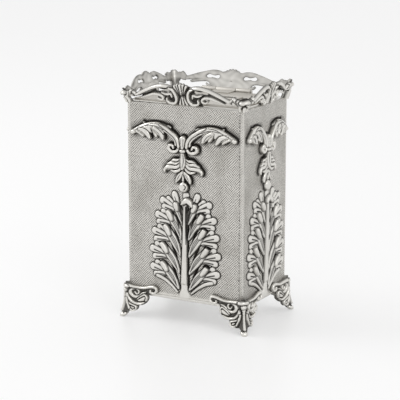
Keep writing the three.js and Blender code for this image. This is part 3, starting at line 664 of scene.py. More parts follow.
garland_arm_body = [
    (0.29, 0.905, 1.2), (0.38, 0.912, 2.3), (0.5, 0.912, 3.0), (0.62, 0.905, 3.0), (0.74, 0.89, 2.5),
    (0.86, 0.86, 1.8), (0.96, 0.825, 1.3),
]
garland_arm_barbs = [
    [(0.36, 0.93, 1.0), (0.29, 0.94, 0.8), (0.24, 0.93, 0.4)],
    [(0.68, 0.93, 0.9), (0.76, 0.97, 0.5)],
]
garland_arm_lobes = [
    [(0.55, 0.87, 1.2), (0.52, 0.82, 1.1), (0.5, 0.79, 0.7)],
    [(0.55, 0.9, 1.2), (0.43, 0.84, 1.9), (0.375, 0.765, 0.8)],
    [(0.88, 0.84, 0.9), (0.8, 0.81, 1.1), (0.755, 0.775, 0.6)],
    [(0.83, 0.87, 1.1), (0.71, 0.835, 1.8), (0.635, 0.76, 0.8)],
]
garland_arm_lines = [
    [(0.3, 0.86, 0.16), (0.43, 0.92, 0.26), (0.56, 0.94, 0.26), (0.7, 0.925, 0.2)],
    [(0.36, 0.945, 0.12), (0.48, 0.97, 0.2), (0.62, 0.96, 0.24), (0.75, 0.915, 0.24), (0.9, 0.86, 0.14)],
    [(0.5, 0.92, 0.12), (0.42, 0.875, 0.24), (0.36, 0.82, 0.35)],
    [(0.55, 0.89, 0.12), (0.46, 0.84, 0.24), (0.41, 0.78, 0.2)],
    [(0.61, 0.91, 0.14), (0.59, 0.86, 0.45), (0.575, 0.81, 0.5)],
    [(0.76, 0.9, 0.12), (0.67, 0.86, 0.24), (0.61, 0.79, 0.3)],
    [(0.84, 0.86, 0.12), (0.75, 0.82, 0.24), (0.69, 0.77, 0.2)],
]
garland_arm_tip = [(0.955, 0.822, 1.3), (0.965, 0.818, 1.3)]
garland_neck_high = [
    (0.075, 0.67, 0.9), (0.09, 0.745, 0.95), (0.15, 0.82, 0.95), (0.25, 0.88, 0.95), (0.345, 0.93, 0.8),
    (0.43, 0.965, 0.5),
]
garland_neck_low = [
    (0.13, 0.69, 0.7), (0.145, 0.75, 0.75), (0.21, 0.81, 0.75), (0.3, 0.86, 0.6), (0.37, 0.885, 0.3),
]
garland_scroll = [
    (0.075, 0.65, 0.8), (0.12, 0.6, 0.9), (0.2, 0.59, 1.0), (0.265, 0.625, 1.0), (0.255, 0.675, 0.9),
    (0.2, 0.68, 0.8), (0.175, 0.645, 0.7),
]
garland_leaf = [
    (0.04, 0.42, 1.8), (0.12, 0.405, 2.4), (0.2, 0.38, 2.1), (0.28, 0.35, 1.5), (0.335, 0.32, 0.9),
]
garland_leaf_ridges = [
    [(0.04, 0.5, 0.5), (0.1, 0.47, 0.8), (0.17, 0.465, 0.9), (0.235, 0.435, 0.6)],
    [(0.03, 0.37, 0.6), (0.08, 0.325, 0.9), (0.15, 0.3, 0.9), (0.22, 0.315, 0.6)],
    [(0.04, 0.46, 0.6), (0.12, 0.415, 0.8), (0.21, 0.42, 0.9), (0.28, 0.4, 0.8), (0.315, 0.37, 0.5)],
    [(0.04, 0.42, 0.7), (0.12, 0.365, 1.0), (0.22, 0.36, 1.1), (0.31, 0.35, 1.0), (0.355, 0.315, 0.8),
     (0.35, 0.285, 0.6)],
]
garland_small_leaf = [(0.02, 0.3, 0.6), (0.07, 0.24, 1.4), (0.11, 0.19, 1.2), (0.135, 0.145, 0.5)]
garland_small_vein = [(0.045, 0.27, 0.1), (0.085, 0.22, 0.25), (0.12, 0.165, 0.1)]
garland_leaf_middle = [(0, 0.57, 1.1), (0, 0.48, 1.8), (0, 0.41, 1.6), (0, 0.35, 0.7)]
garland_bud_hook = [(0.02, 0.12, 0.2), (0.055, 0.095, 0.35), (0.045, 0.055, 0.3), (0.02, 0.05, 0.15)]


def garland_rows(shares, hand, arm_half_width):
    """Rows of shares of the garland as places in metres. The arms alone are narrower on a side wall."""
    rows = []
    for u, v, w in shares:
        pulled = (hang_half_width - arm_half_width) * max(0, u - 0.12) / 0.88
        x = hand * (u * hang_half_width - pulled)
        rows.append((x, garland_foot + v * garland_height, w * line_half_width))
    return rows


def garland_on(relief, arm_half_width):
    """The stem and leaves below, the two arms over them, then the cup, its band and the bud."""
    thick = garland_thickness

    def rows(shares, hand=1):
        return garland_rows(shares, hand, arm_half_width)

    relief.raised(rows([(0, 0.4, 0.7), (0, 0.1, 0.65)]), thick + 0.2 * mm, 0.9 * mm)
    for hand in (1, -1):
        relief.raised(rows(garland_small_leaf, hand), thick, 1.0 * mm)
        relief.cut(rows(garland_small_vein, hand), 0.4 * mm)
        relief.raised(rows(garland_leaf, hand), thick, 0.5 * mm)
        for ridge in garland_leaf_ridges:
            relief.raised(rows(ridge, hand), thick + 0.2 * mm, 1.0 * mm)
        for barb in garland_arm_barbs:
            relief.raised(rows(barb, hand), thick, 0.7 * mm)
        relief.raised(rows(garland_arm_body, hand), thick, 1.8 * mm)
        for lobe in garland_arm_lobes:
            relief.raised(rows(lobe, hand), thick + 0.4 * mm, 1.4 * mm, 0.35)
        for line in garland_arm_lines:
            relief.cut(rows(line, hand), 0.5 * mm)
        relief.raised(rows(garland_arm_tip, hand), thick + 0.3 * mm, 1.5 * mm, 0.4)
        relief.raised(rows(garland_neck_low, hand), thick + 0.6 * mm, 0.9 * mm)
        relief.raised(rows(garland_scroll, hand), thick + 0.6 * mm, 1.1 * mm, 0.7)
        relief.raised(rows(garland_neck_high, hand), thick + 0.8 * mm, 1.1 * mm)
    relief.raised(rows(garland_leaf_middle), thick + 0.8 * mm, 1.4 * mm)
    for side in (-0.03, 0.03):
        relief.cut(rows([(side * 0.6, 0.56, 0.15), (side, 0.47, 0.25), (side * 0.3, 0.37, 0.12)]), 0.5 * mm)
    relief.raised(rows([(0, 0.78, 1.9), (0, 0.72, 1.5), (0, 0.65, 0.9)]), thick + 0.9 * mm, 1.3 * mm)
    for side in (-0.028, 0.028):
        relief.cut(rows([(side, 0.785, 0.2), (side * 0.5, 0.67, 0.12)]), 0.4 * mm)
    relief.raised(rows([(-0.03, 0.61, 0.9), (0.03, 0.61, 0.9)]), thick + 1.1 * mm, 0.9 * mm)
    relief.raised(rows([(0, 0.078, 2.8), (0, 0.08, 2.8)]), thick, 2.1 * mm)
    relief.cut(rows(garland_bud_hook), 0.7 * mm, 0.9)


def relief_grid(low, high, step, ground, groove):
    """A flat relief on a grid of spots, and the grid's counts."""
    across = round((high[0] - low[0]) / step)
    up = round((high[1] - low[1]) / step)
    x, z = np.meshgrid(low[0] + step * np.arange(across + 1), low[1] + step * np.arange(up + 1))
    return Relief(np.stack([x.ravel(), z.ravel()], 1), ground, groove), (across, up)


def read_attribute(piece, name):
    values = np.empty(len(piece.data.vertices), np.float32)
    piece.data.attributes[name].data.foreach_get("value", values)
    return values


def change_attribute(piece, name, values):
    piece.data.attributes[name].data.foreach_set("value", values.astype(np.float32))


def shaded_back_tones(points, patina_and_shade):
    """Uneven painted shade for a casting's back: two waves that bend each other, so that no pattern shows.
    """
    x = points[:, 0] / mm
    z = points[:, 2] / mm
    mottle = np.sin(x / 1.7 + 2 * np.sin(z / 1.9)) * np.sin(z / 0.9 + 2 * np.sin(x / 2.6))
    return patina_and_shade + back_mottle * mottle


def solid_casting(relief, counts, easing, shade_behind=back_shade):
    """Turns a relief on a grid into a solid casting with a flat back at y = 0: what lies outside is
    cut away, the edge is drawn onto the true outline and eased, and the sheet of spots is thickened."""
    across, up = counts
    bpy.ops.mesh.primitive_grid_add(x_subdivisions=across, y_subdivisions=up, size=1)
    piece = bpy.context.object
    slope_z, slope_x = np.gradient(relief.outside.reshape(up + 1, across + 1))
    step = relief.spots[1, 0] - relief.spots[0, 0]
    slope = np.stack([slope_x.ravel(), slope_z.ravel()], 1) / step
    steepness = (slope**2).sum(1).clip(0.25)
    past = relief.outside.clip(0, 1.5 * step)
    spots = relief.spots - past[:, None] * slope / steepness[:, None]
    edge = (1 + relief.outside / easing).clip(0, 1)
    height = relief.height - 0.5 * easing * edge**2
    set_points(piece, np.stack([spots[:, 0], -height, spots[:, 1]], 1))
    set_attribute(piece, "patina_and_shade", relief.patina_and_shade)
    set_attribute(piece, "edge", np.exp(relief.outside.clip(None, 0) / (0.7 * mm)))
    face_corners = np.empty(len(piece.data.polygons) * 4, np.int32)
    piece.data.polygons.foreach_get("vertices", face_corners)
    kept = (relief.outside < 0)[face_corners.reshape(-1, 4)].any(1)
    edit_faces(piece, ~kept)
    bpy.ops.mesh.select_mode(type="FACE")
    bpy.ops.mesh.delete(type="FACE")
    bpy.ops.mesh.select_mode(type="VERT")
    bpy.ops.mesh.select_all(action="SELECT")
    bpy.ops.mesh.delete_loose()
    bpy.ops.mesh.select_all(action="SELECT")
    bpy.ops.mesh.extrude_region_move(TRANSFORM_OT_translate={"value": (0, 1 * mm, 0)})
    bpy.ops.transform.resize(value=(1, 0, 1), center_override=(0, 0, 0))
    bpy.ops.mesh.select_all(action="SELECT")
    bpy.ops.mesh.normals_make_consistent(inside=False)
    finish_edit()
    points = points_of(piece)
    # The back is painted with shade, darker near the outline and the holes.
    tones = shaded_back_tones(points, shade_behind) + 0.45 * read_attribute(piece, "edge")
    on_back = points[:, 1] > -near_enough
    change_attribute(piece, "patina_and_shade", np.where(on_back, tones.clip(0, 1), read_attribute(piece, "patina_and_shade")))
    return piece


def garland_casting(arm_half_width):
    low = (-arm_half_width - garland_margin, garland_foot - garland_margin)
    high = (arm_half_width + garland_margin, garland_foot + garland_height + garland_margin)
    relief, counts = relief_grid(low, high, casting_step, garland_thickness, cast_groove)
    garland_on(relief, arm_half_width)
    piece = solid_casting(relief, counts, garland_easing)
    shade_smooth(piece, casting_angle)
    return piece


def shadow_round_garland(sheet, arm_half_width):
    """Painted shadow on a wall's face close round its garland, shifted a little to the right of it and
    above.
    """
    places = np.empty(len(sheet.data.vertices) * 3, np.float32)
    sheet.data.attributes["place"].data.foreach_get("vector", places)
    places = places.reshape(-1, 3).astype(float)
    shade = Relief(places[:, [0, 2]] - shadow_shift, 0, cast_groove)
    garland_on(shade, arm_half_width)
    edge = shade.outside.clip(0)
    # Dark close in and fading further out, like a soft cast shadow.
    shadow = 0.75 * np.exp(-((edge / shadow_near) ** 2)) + 0.3 * np.exp(-((edge / shadow_far) ** 2))
    shadow[(places[:, 1] > sheet_thickness / 2) | (shade.outside > far_off / 2)] = 0
    change_attribute(sheet, "patina_and_shade", np.maximum(read_attribute(sheet, "patina_and_shade"), shadow.clip(0, 0.92)))


cast_silver = silver("cast_silver", (0.785, 0.77, 0.73, 1), 0.26, 0.25)
castings = {half: garland_casting(arm) for half, arm in garland_arms.items()}
for wall, (turn, half, out) in walls.items():
    piece = linked_copy(wall + "_garland_cast", castings[half].data)
    put_round(piece, turn, out)
    painted(piece, cast_silver)
    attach(piece, "box")
    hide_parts(wall + "_garland")
    shadow_round_garland(bpy.data.objects[wall + "_wall"], garland_arms[half])
for casting in castings.values():
    bpy.data.objects.remove(casting)

# Galleries: four cast strips of scrolls and shells, pierced right through, that stand on the frame
# and lean out. Their backs are plain, with uneven painted shade that is darker near the outline and
# the holes. The arms run down to the corner leaves.
gallery_height = 12.4 * mm
gallery_lean = math.radians(22)
gallery_inset = 0.3 * mm
gallery_thickness = 1.3 * mm
gallery_plate = 0.9 * mm
gallery_overhang = 1.1 * mm
gallery_groove = 0.3 * mm
gallery_easing = 0.3 * mm
gallery_foot = -1.8 * mm
gallery_headroom = 1.4 * mm
end_reach = 18 * mm
end_rise = 4 * mm
end_droop = -1.5 * mm
end_lift = 1.5 * mm
corner_span = 6.9 * mm
fine_step = 0.16 * mm

gallery_outline = [
    (0.36, -0.12), (0.38, 0.02), (0.43, 0.2), (0.54, 0.4), (0.68, 0.44), (0.84, 0.37), (1.03, 0.3),
    (1.03, 0.44), (0.9, 0.54), (0.77, 0.66), (0.62, 0.8), (0.5, 0.88), (0.38, 0.9), (0.24, 0.85),
    (0.13, 0.9), (0.07, 0.96), (0, 0.98),
]
gallery_hole = [
    (-1, 0), (-0.75, 0.9), (-0.1, 0.5), (0.7, 1), (1, 0), (0.7, -0.8), (-0.1, -0.6), (-0.75, -0.9),
]
gallery_hole_centre = (0.41, 0.62)
gallery_hole_size = (4.2 * mm, 1.15 * mm)
# Each bar has its lift over the plate and its crown in millimetres, then its rows of shares.
gallery_bars = {
    "rib under the arm": (0.1, 0.7, [
        (0.5, 0.76, 0.3), (0.62, 0.64, 0.5), (0.76, 0.52, 0.5), (0.9, 0.42, 0.4), (1.02, 0.33, 0.3),
    ]),
    "arm": (0.3, 0.9, [
        (0.2, 0.79, 0.6), (0.3, 0.84, 0.8), (0.44, 0.84, 0.9), (0.6, 0.75, 0.9), (0.76, 0.62, 0.85),
        (0.9, 0.49, 0.75), (1.02, 0.39, 0.7),
    ]),
    "curl": (0.2, 0.8, [
        (0.22, 0.36, 0.5), (0.24, 0.5, 0.75), (0.3, 0.47, 0.8), (0.36, 0.48, 0.7), (0.42, 0.54, 0.5),
    ]),
    "volute": (0.3, 0.9, [
        (0.53, 0.27, 0.5), (0.49, 0.2, 0.7), (0.43, 0.2, 0.75), (0.415, 0.31, 0.8), (0.47, 0.41, 0.85),
        (0.58, 0.44, 0.85), (0.72, 0.38, 0.75), (0.88, 0.28, 0.5),
    ]),
    "scroll": (0.4, 1.0, [
        (0.25, 0.78, 0.5), (0.18, 0.7, 0.8), (0.135, 0.5, 0.9), (0.13, 0.24, 0.9), (0.18, 0.07, 0.9),
        (0.27, 0.06, 0.85), (0.33, 0.15, 0.75), (0.33, 0.28, 0.6),
    ]),
    "low rib of the shell": (0.3, 0.6, [(0.02, 0.4, 0.4), (0.045, 0.22, 0.6), (0.075, 0.04, 0.7)]),
    "outer rib of the shell": (0.4, 0.7, [(0.04, 0.5, 0.3), (0.085, 0.74, 0.6), (0.12, 0.88, 0.75)]),
    "inner rib of the shell": (0.5, 0.7, [(0.02, 0.5, 0.3), (0.04, 0.75, 0.6), (0.06, 0.94, 0.75)]),
}
gallery_middle_bars = {
    "low middle rib": (0.4, 0.6, [(0, 0.4, 0.4), (0, 0.04, 0.65)]),
    "high middle rib": (0.6, 0.7, [(0, 0.5, 0.3), (0, 0.95, 0.8)]),
}


def smooth_outline(points):
    """A smooth closed line through points."""
    rows = [(x, z, 0) for x, z in [points[-1], *points, *points[:2]]]
    return smooth_line(rows)[line_steps:-line_steps - 1, :2]


def both_hands(half_outline, across, up):
    """A symmetric outline from its right half, which ends on the middle line."""
    right = [(u * across, v * up) for u, v in half_outline]
    left = [(-x, z) for x, z in reversed(right[:-1])]
    return smooth_outline([*right, *left])


def cast_rows(shares, across, up, hand=1):
    """Rows of shares of a casting's width and height as places in metres."""
    return [(hand * u * across, v * up, w * line_half_width) for u, v, w in shares]


def raise_bars(relief, bars, thick, across, up, hand=1):
    for lift, crown, shares in bars.values():
        relief.raised(cast_rows(shares, across, up, hand), thick + lift * mm, crown * mm)


def gallery_on(relief, reach):
    """A gallery's scrolls, over a plate with a hole on each hand, and the shell in its middle."""
    relief.plate(both_hands(gallery_outline, reach, gallery_height), gallery_plate, 0.95)
    hole_length = gallery_hole_size[0] * (reach + corner_span) / half_width
    for hand in (1, -1):
        hole_x = hand * gallery_hole_centre[0] * reach
        hole_z = gallery_hole_centre[1] * gallery_height
        hole = [
            (hole_x + hand * a * hole_length, hole_z + b * gallery_hole_size[1]) for a, b in gallery_hole
        ]
        relief.pierced(smooth_outline(hole))
        raise_bars(relief, gallery_bars, gallery_plate, reach, gallery_height, hand)
    raise_bars(relief, gallery_middle_bars, gallery_plate, reach, gallery_height)


def leaned(points):
    """Leans flat castwork out from the wall. Its own y is minus how far it stands off its back."""
    out = -points[:, 1] - gallery_thickness
    rise = points[:, 2]
    away = gallery_inset + out * math.cos(gallery_lean) + rise * math.sin(gallery_lean)
    up = rise * math.cos(gallery_lean) - out * math.sin(gallery_lean)
    return np.stack([points[:, 0], -away, up], 1)


def fitted(points):
    """Bends the galleries' ends and the corner leaves as they were bent when they were fitted: down
    at the front, and up a little at the back."""
    x, y, z = points.T
    from_corner = np.maximum(half_width - abs(x), half_depth - abs(y))
    end_share = 1 - (from_corner / end_reach).clip(0, 1)
    rise_share = ((z - frame_top) / end_rise).clip(0, 1)
    lift = np.interp(y, [-half_depth, half_depth], [end_droop, end_lift])
    return np.stack([x, y, z + lift * end_share * rise_share], 1)


def cut_level(piece, height):
    """Cuts a piece off level, and closes the cut. A wider threshold would join points near it."""
    edit(piece, "SELECT")
    bpy.ops.mesh.bisect(
        plane_co=(0, 0, height), plane_no=(0, 0, 1), clear_inner=True, use_fill=True, threshold=0.0001 * mm
    )
    finish_edit()


def gallery_casting(half):
    reach = half - corner_span
    low, high = (-reach, gallery_foot), (reach, gallery_height + gallery_headroom)
    relief, counts = relief_grid(low, high, fine_step, gallery_plate, gallery_groove)
    gallery_on(relief, reach)
    piece = solid_casting(relief, counts, gallery_easing)
    set_points(piece, leaned(points_of(piece)))
    cut_level(piece, -gallery_overhang)
    shade_smooth(piece, casting_angle)
    return piece


castings = {half: gallery_casting(half) for half in (half_width, half_depth)}
for wall, (turn, half, out) in walls.items():
    piece = linked_copy(wall + "_gallery_cast", castings[half].data)
    piece.data.transform(Matrix.Translation((0, 0, frame_top)))
    put_round(piece, turn, out)
    set_points(piece, fitted(points_of(piece)))
    painted(piece, cast_silver)
    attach(piece, "box")
    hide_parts(wall + "_gallery")
for casting in castings.values():
    bpy.data.objects.remove(casting)

# Corner leaves: small cast silver leaves of three lobes, bent round the frame's corners and soldered
# between the galleries. Black between the ribs, like the galleries.
corner_radius = 1 * mm
bend_reach = 1.5 * mm
# Painted shade on the corner leaves' backs.
leaf_back_shade = 0.32
corner_leaf_outline = [
    (0.44, -0.16), (0.42, 0.04), (0.36, 0.18), (0.46, 0.3), (0.62, 0.28), (0.8, 0.27), (1.02, 0.3),
    (1.02, 0.46), (0.9, 0.55), (0.76, 0.6), (0.62, 0.66), (0.48, 0.6), (0.36, 0.6), (0.22, 0.58),
    (0.1, 0.66), (0, 0.66),
]
corner_leaf_bars = {
    "low side rib": (0.2, 0.7, [(0.62, 0.34, 0.4), (0.82, 0.34, 0.6), (1, 0.36, 0.5)]),
    "curl": (0.3, 1.0, [
        (0.34, 0.26, 0.5), (0.46, 0.48, 0.8), (0.62, 0.58, 0.85), (0.77, 0.5, 0.8), (0.7, 0.38, 0.7),
        (0.58, 0.4, 0.5),
    ]),
    "high side rib": (0.2, 0.8, [(0.78, 0.54, 0.4), (0.9, 0.48, 0.6), (1, 0.41, 0.65)]),
    "leaf side": (0.4, 1.0, [(0.34, -0.1, 0.6), (0.3, 0.1, 0.8), (0.22, 0.3, 0.8), (0.3, 0.5, 0.8)]),
}
corner_leaf_middle_bars = {
    "middle rib": (0.6, 1.0, [(0, -0.08, 0.9), (0, 0.14, 0.8), (0, 0.24, 0.5)]),
    "bud": (0.6, 1.3, [(-0.08, 0.46, 1.1), (0.08, 0.5, 1.1)]),
}
corner_leaf_bud_line = [(-0.06, 0.36, 0.2), (0.02, 0.44, 0.4), (0.1, 0.46, 0.15)]


def bent(points):
    """Bends flat castwork round a corner of the box, at the origin, with the box towards -X and +Y.
    Its own x runs along the front wall where negative and along the side wall where positive."""
    away = abs(points[:, 0])
    hand = np.sign(points[:, 0])
    out = -points[:, 1]
    turn = hand * np.interp(away, [0, bend_reach], [0, math.pi / 4])
    straight = np.interp(away, [bend_reach, 2 * bend_reach], [0, 2 * bend_reach - corner_radius])
    beyond = hand * (straight + (away - 2 * bend_reach).clip(0))
    angle = turn - math.pi / 4
    x = (corner_radius + out) * np.cos(angle) - corner_radius + beyond.clip(None, 0)
    y = (corner_radius + out) * np.sin(angle) + corner_radius + beyond.clip(0)
    return np.stack([x, y, points[:, 2]], 1)


def corner_leaf_casting():
    low, high = (-corner_span, gallery_foot), (corner_span, gallery_height)
    relief, counts = relief_grid(low, high, fine_step, gallery_plate, gallery_groove)
    relief.plate(both_hands(corner_leaf_outline, corner_span, gallery_height), gallery_plate, 0.95)
    for hand in (1, -1):
        raise_bars(relief, corner_leaf_bars, gallery_plate, corner_span, gallery_height, hand)
    raise_bars(relief, corner_leaf_middle_bars, gallery_plate, corner_span, gallery_height)
    relief.cut(cast_rows(corner_leaf_bud_line, corner_span, gallery_height), 0.6 * mm)
    piece = solid_casting(relief, counts, gallery_easing, leaf_back_shade)
    set_points(piece, bent(leaned(points_of(piece))))
    cut_level(piece, -gallery_overhang)
    shade_smooth(piece, casting_angle)
    return piece


def put_at_corner(piece, turn, x, y):
    piece.data.transform(Matrix.Translation((x, y, 0)) @ Matrix.Rotation(turn, 4, "Z"))


leaf_casting = corner_leaf_casting()
for corner, (turn, x, y) in corners.items():
    piece = linked_copy(corner + "_corner_leaf_cast", leaf_casting.data)
    piece.data.transform(Matrix.Translation((0, 0, frame_top)))
    put_at_corner(piece, turn, x, y)
    set_points(piece, fitted(points_of(piece)))
    painted(piece, cast_silver)
    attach(piece, "box")
    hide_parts(corner + "_corner_leaf")
bpy.data.objects.remove(leaf_casting)

# Feet: castings of scrolls and leaves in two wings that wrap the box's corners, soldered on, with a
# leg behind that kicks out to a small ball.
foot_height = plate_low.z
foot_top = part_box("front_right_foot")[1].z
wing_span = 18.5 * mm
wing_thickness = 1.6 * mm
foot_splay = 2.7 * mm
ball_radius = 2 * mm
ball_flatness = 0.8
ball_lift = 1.3 * mm
leg_top_radius = 1.8 * mm
leg_tip_radius = 1.2 * mm
leg_inset = 0.8 * mm
leg_shade = 0.7
corner_swell = 1 * mm
swell_reach = 4 * mm

foot_outline = [
    (-0.02, 0.97), (0.1, 0.955), (0.35, 0.93), (0.6, 0.95), (0.84, 1.02), (0.98, 1.0), (1.04, 0.9),
    (1.0, 0.8), (0.88, 0.755), (0.76, 0.78), (0.7, 0.72), (0.71, 0.6), (0.64, 0.47), (0.52, 0.39),
    (0.41, 0.36), (0.4, 0.26), (0.31, 0.19), (0.19, 0.19), (0.1, 0.2), (0.02, 0.14),
]
foot_bars = {
    "ring scroll": [
        (0.3, 0.86, 0.4), (0.19, 0.84, 0.7), (0.14, 0.75, 0.85), (0.19, 0.66, 0.9), (0.3, 0.62, 0.85),
        (0.42, 0.66, 0.75), (0.53, 0.75, 0.65), (0.63, 0.79, 0.4),
    ],
    "eye": [(0.28, 0.77, 0.4), (0.33, 0.71, 0.5), (0.4, 0.74, 0.6), (0.4, 0.82, 0.55), (0.34, 0.85, 0.4)],
    "lobe": [(0.4, 0.53, 0.6), (0.5, 0.56, 1.1), (0.6, 0.6, 1.1)],
    "lobe's edge": [
        (0.36, 0.56, 0.4), (0.48, 0.65, 0.55), (0.6, 0.71, 0.6), (0.67, 0.64, 0.7), (0.65, 0.55, 0.6),
    ],
    "sweep": [
        (0.06, 0.7, 0.5), (0.09, 0.58, 0.7), (0.18, 0.48, 0.75), (0.31, 0.43, 0.8), (0.46, 0.43, 0.8),
        (0.58, 0.48, 0.5),
    ],
    "drop": [(0.2, 0.33, 0.4), (0.26, 0.3, 0.7), (0.28, 0.27, 0.4)],
    "loop round the drop": [
        (0.07, 0.5, 0.4), (0.12, 0.42, 0.5), (0.22, 0.38, 0.55), (0.34, 0.34, 0.6), (0.35, 0.25, 0.6),
        (0.26, 0.22, 0.6), (0.16, 0.28, 0.5), (0.1, 0.38, 0.4),
    ],
    "rail and its curl": [
        (0.02, 0.93, 0.8), (0.3, 0.905, 0.75), (0.55, 0.905, 0.75), (0.8, 0.965, 0.85), (0.95, 0.965, 0.85),
        (1.0, 0.88, 0.8), (0.92, 0.8, 0.75), (0.8, 0.81, 0.7), (0.8, 0.87, 0.55),
    ],
}
foot_middle_bars = {
    "tile's bar": (0, 0.9, [(-0.06, 0.9, 0.9), (0.06, 0.9, 0.9)]),
    "tile": (0, 0.8, [(0, 0.8, 0.9), (0, 0.7, 0.7)]),
    "middle rib": (0, 0.8, [(0, 0.7, 0.5), (0, 0.45, 0.35), (0, 0.18, 0.45)]),
}
foot_side_rib = {"side rib": (0, 0.8, [(0.05, 0.58, 0.3), (0.08, 0.42, 0.4), (0.15, 0.27, 0.45)])}


def foot_on(relief):
    """A foot's two wings laid flat, with the corner in the middle, where the metal is thickest."""
    for hand in (1, -1):
        outline = [(hand * u * wing_span, v * foot_top) for u, v in foot_outline]
        relief.plate(smooth_outline(outline), wing_thickness - 0.4 * mm, 0.85)
        for shares in foot_bars.values():
            rows = cast_rows(shares, wing_span, foot_top, hand)
            relief.raised(rows, wing_thickness - 0.1 * mm, 1.0 * mm)
    raise_bars(relief, foot_middle_bars, wing_thickness, wing_span, foot_top)
    for hand in (1, -1):
        raise_bars(relief, foot_side_rib, wing_thickness, wing_span, foot_top, hand)
    away = abs(relief.spots[:, 0]) / swell_reach
    relief.height += corner_swell * np.exp(-(away**2))


def splayed(points):
    """Kicks a foot's tip out from the corner."""
    drop = (1 - points[:, 2] / foot_height).clip(0, 1)
    out = foot_splay * drop**2.4
    return points + np.stack([out, -out, np.zeros(len(out))], 1)


def foot_core():
    """The round leg behind the wings, and the ball that it stands on."""
    leg_length = foot_height - ball_lift
    bpy.ops.mesh.primitive_cone_add(
        vertices=24, radius1=leg_tip_radius, radius2=leg_top_radius, depth=leg_length,
        location=(-leg_inset, leg_inset, ball_lift + leg_length / 2),
    )
    leg = bpy.context.object
    bpy.ops.object.transform_apply()
    edit(leg, "SELECT")
    bpy.ops.mesh.subdivide(number_cuts=5)
    finish_edit()
    # Painted shade: the leg behind the wings, under the box, is darkened all over.
    set_attribute(leg, "patina_and_shade", np.full(len(leg.data.vertices), leg_shade))
    bpy.ops.mesh.primitive_uv_sphere_add(
        segments=24, ring_count=16, radius=ball_radius, location=(0, 0, ball_lift)
    )
    ball = bpy.context.object
    ball.scale = (1, 1, ball_flatness)
    bpy.ops.object.transform_apply()
    select_only(ball)
    leg.select_set(True)
    bpy.ops.object.join()
    set_points(ball, splayed(points_of(ball)))
    return ball


def foot_casting():
    reach = wing_span * 1.12
    low, high = (-reach, -1 * mm), (reach, foot_top + 1 * mm)
    relief, counts = relief_grid(low, high, fine_step, wing_thickness - 0.3 * mm, cast_groove)
    foot_on(relief)
    piece = solid_casting(relief, counts, garland_easing)
    set_points(piece, splayed(bent(points_of(piece))))
    core = foot_core()
    select_only(piece)
    core.select_set(True)
    bpy.ops.object.join()
    cut_level(piece, 0)
    shade_smooth(piece, casting_angle)
    return piece


foot = foot_casting()
for corner, (turn, x, y) in corners.items():
    piece = linked_copy(corner + "_foot_cast", foot.data)
    put_at_corner(piece, turn, x, y)
    painted(piece, cast_silver)
    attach(piece, "box")
    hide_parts(corner + "_foot")
bpy.data.objects.remove(foot)

# Lid: a flat silver sheet inside the gallery, with a raised surround soldered round the coin slot.
# It is darker and duller than the outside.
inner_silver = silver("inner_silver", (0.62, 0.6, 0.56, 1), 0.5, 0.6)
eased_copy("lid", 0.2 * mm, inner_silver, "lid")
eased_copy("slot_frame", 0.25 * mm, inner_silver, "lid")

# Hinge: three knuckles of drawn silver tube at the back, one on the lid and two on the frame, with a
# pin through them whose ends are riveted over.
fitting_easing = 0.12 * mm
eased_copy("lid_knuckle", fitting_easing, inner_silver, "lid")
for fitting in ("left_frame_knuckle", "right_frame_knuckle", "hinge_pin"):
    eased_copy(fitting, fitting_easing, inner_silver, "box")

# Catch: a turned silver knob at the front of the lid, on a pin that goes through a collar and carries
# an arm and a nut below.
for fitting in ("catch_knob", "catch_collar", "catch_arm", "catch_nut"):
    eased_copy(fitting, fitting_easing, inner_silver, "catch")

# The studio: a pale floor, a white surround, one large soft lamp above on the left and a softer one
# on the right, and the camera at the photograph's angle.
surround_strength = 0.82
seen_extra = 0.13
floor_radius = 3
floor_lift = 0.42
camera_place = (0.3917, -0.7168, 0.2512)
box_to_camera = Vector((0.4717, -0.8530, 0.2238))
lens_length = 138.7
sensor_width = 36

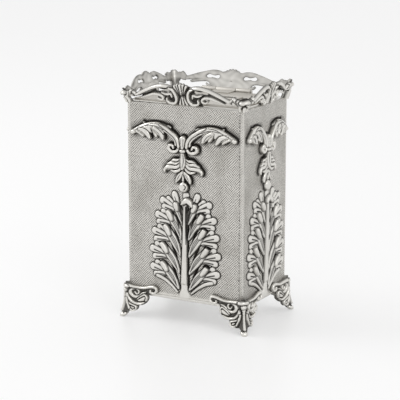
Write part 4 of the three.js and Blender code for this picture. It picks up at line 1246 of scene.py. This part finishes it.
world = bpy.data.worlds.new("studio")
bpy.context.scene.world = world
world.use_nodes = True
sky = world.node_tree
background = sky.nodes["Background"]
background.inputs["Color"].default_value = (1, 1, 1, 1)
ray = add_node(sky, "ShaderNodeLightPath")
seen = maths(sky, "MAXIMUM", ray.outputs["Is Camera Ray"], ray.outputs["Is Glossy Ray"])
seen = maths(sky, "MAXIMUM", seen, ray.outputs["Is Transmission Ray"])
strength = maths(sky, "MULTIPLY_ADD", seen, seen_extra, surround_strength)
sky.links.new(strength, background.inputs["Strength"])

bpy.ops.mesh.primitive_circle_add(vertices=96, radius=floor_radius, fill_type="NGON", location=(0, 0, 0))
floor = bpy.context.object
floor.name = "floor"
floor_paint = bpy.data.materials.new("pale_floor")
floor_paint.use_nodes = True
floor_tree = floor_paint.node_tree
floor_shader = floor_tree.nodes["Principled BSDF"]
floor_shader.inputs["Base Color"].default_value = (0.95, 0.95, 0.95, 1)
floor_shader.inputs["Roughness"].default_value = 0.35
floor_ray = add_node(floor_tree, "ShaderNodeLightPath").outputs["Is Camera Ray"]
lit = add_node(floor_tree, "ShaderNodeEmission", None, {"Color": (1, 1, 1, 1)}).outputs[0]
lit_share = maths(floor_tree, "MULTIPLY", floor_ray, floor_lift)
shaders = {0: lit_share, 1: floor_shader.outputs[0], 2: lit}
half_lit = add_node(floor_tree, "ShaderNodeMixShader", None, shaders)
floor_tree.links.new(half_lit.outputs[0], floor_tree.nodes["Material Output"].inputs["Surface"])
floor.data.materials.append(floor_paint)


def lamp(name, place, size, power):
    """A square soft lamp that looks at the middle of the box."""
    light = bpy.data.lights.new(name, "AREA")
    light.size = size
    light.energy = power
    holder = bpy.data.objects.new(name, light)
    holder.location = place
    holder.rotation_mode = "QUATERNION"
    aim = Vector((0, 0, rim / 2)) - holder.location
    holder.rotation_quaternion = aim.to_track_quat("-Z", "Y")
    bpy.context.scene.collection.objects.link(holder)


lamp("key_lamp", (-0.85, -0.25, 0.85), 0.6, 3)
lamp("side_lamp", (0.8, -0.5, 0.9), 0.5, 1.5)

camera_data = bpy.data.cameras.new("camera")
camera = bpy.data.objects.new("camera", camera_data)
bpy.context.scene.collection.objects.link(camera)
bpy.context.scene.camera = camera
camera_data.lens = lens_length
camera_data.sensor_width = sensor_width
camera_data.clip_start = 0.05
camera_data.clip_end = 20
camera.location = camera_place
camera.rotation_mode = "QUATERNION"
camera.rotation_quaternion = (-box_to_camera).to_track_quat("-Z", "Y")
bpy.context.scene.view_settings.view_transform = "Standard"
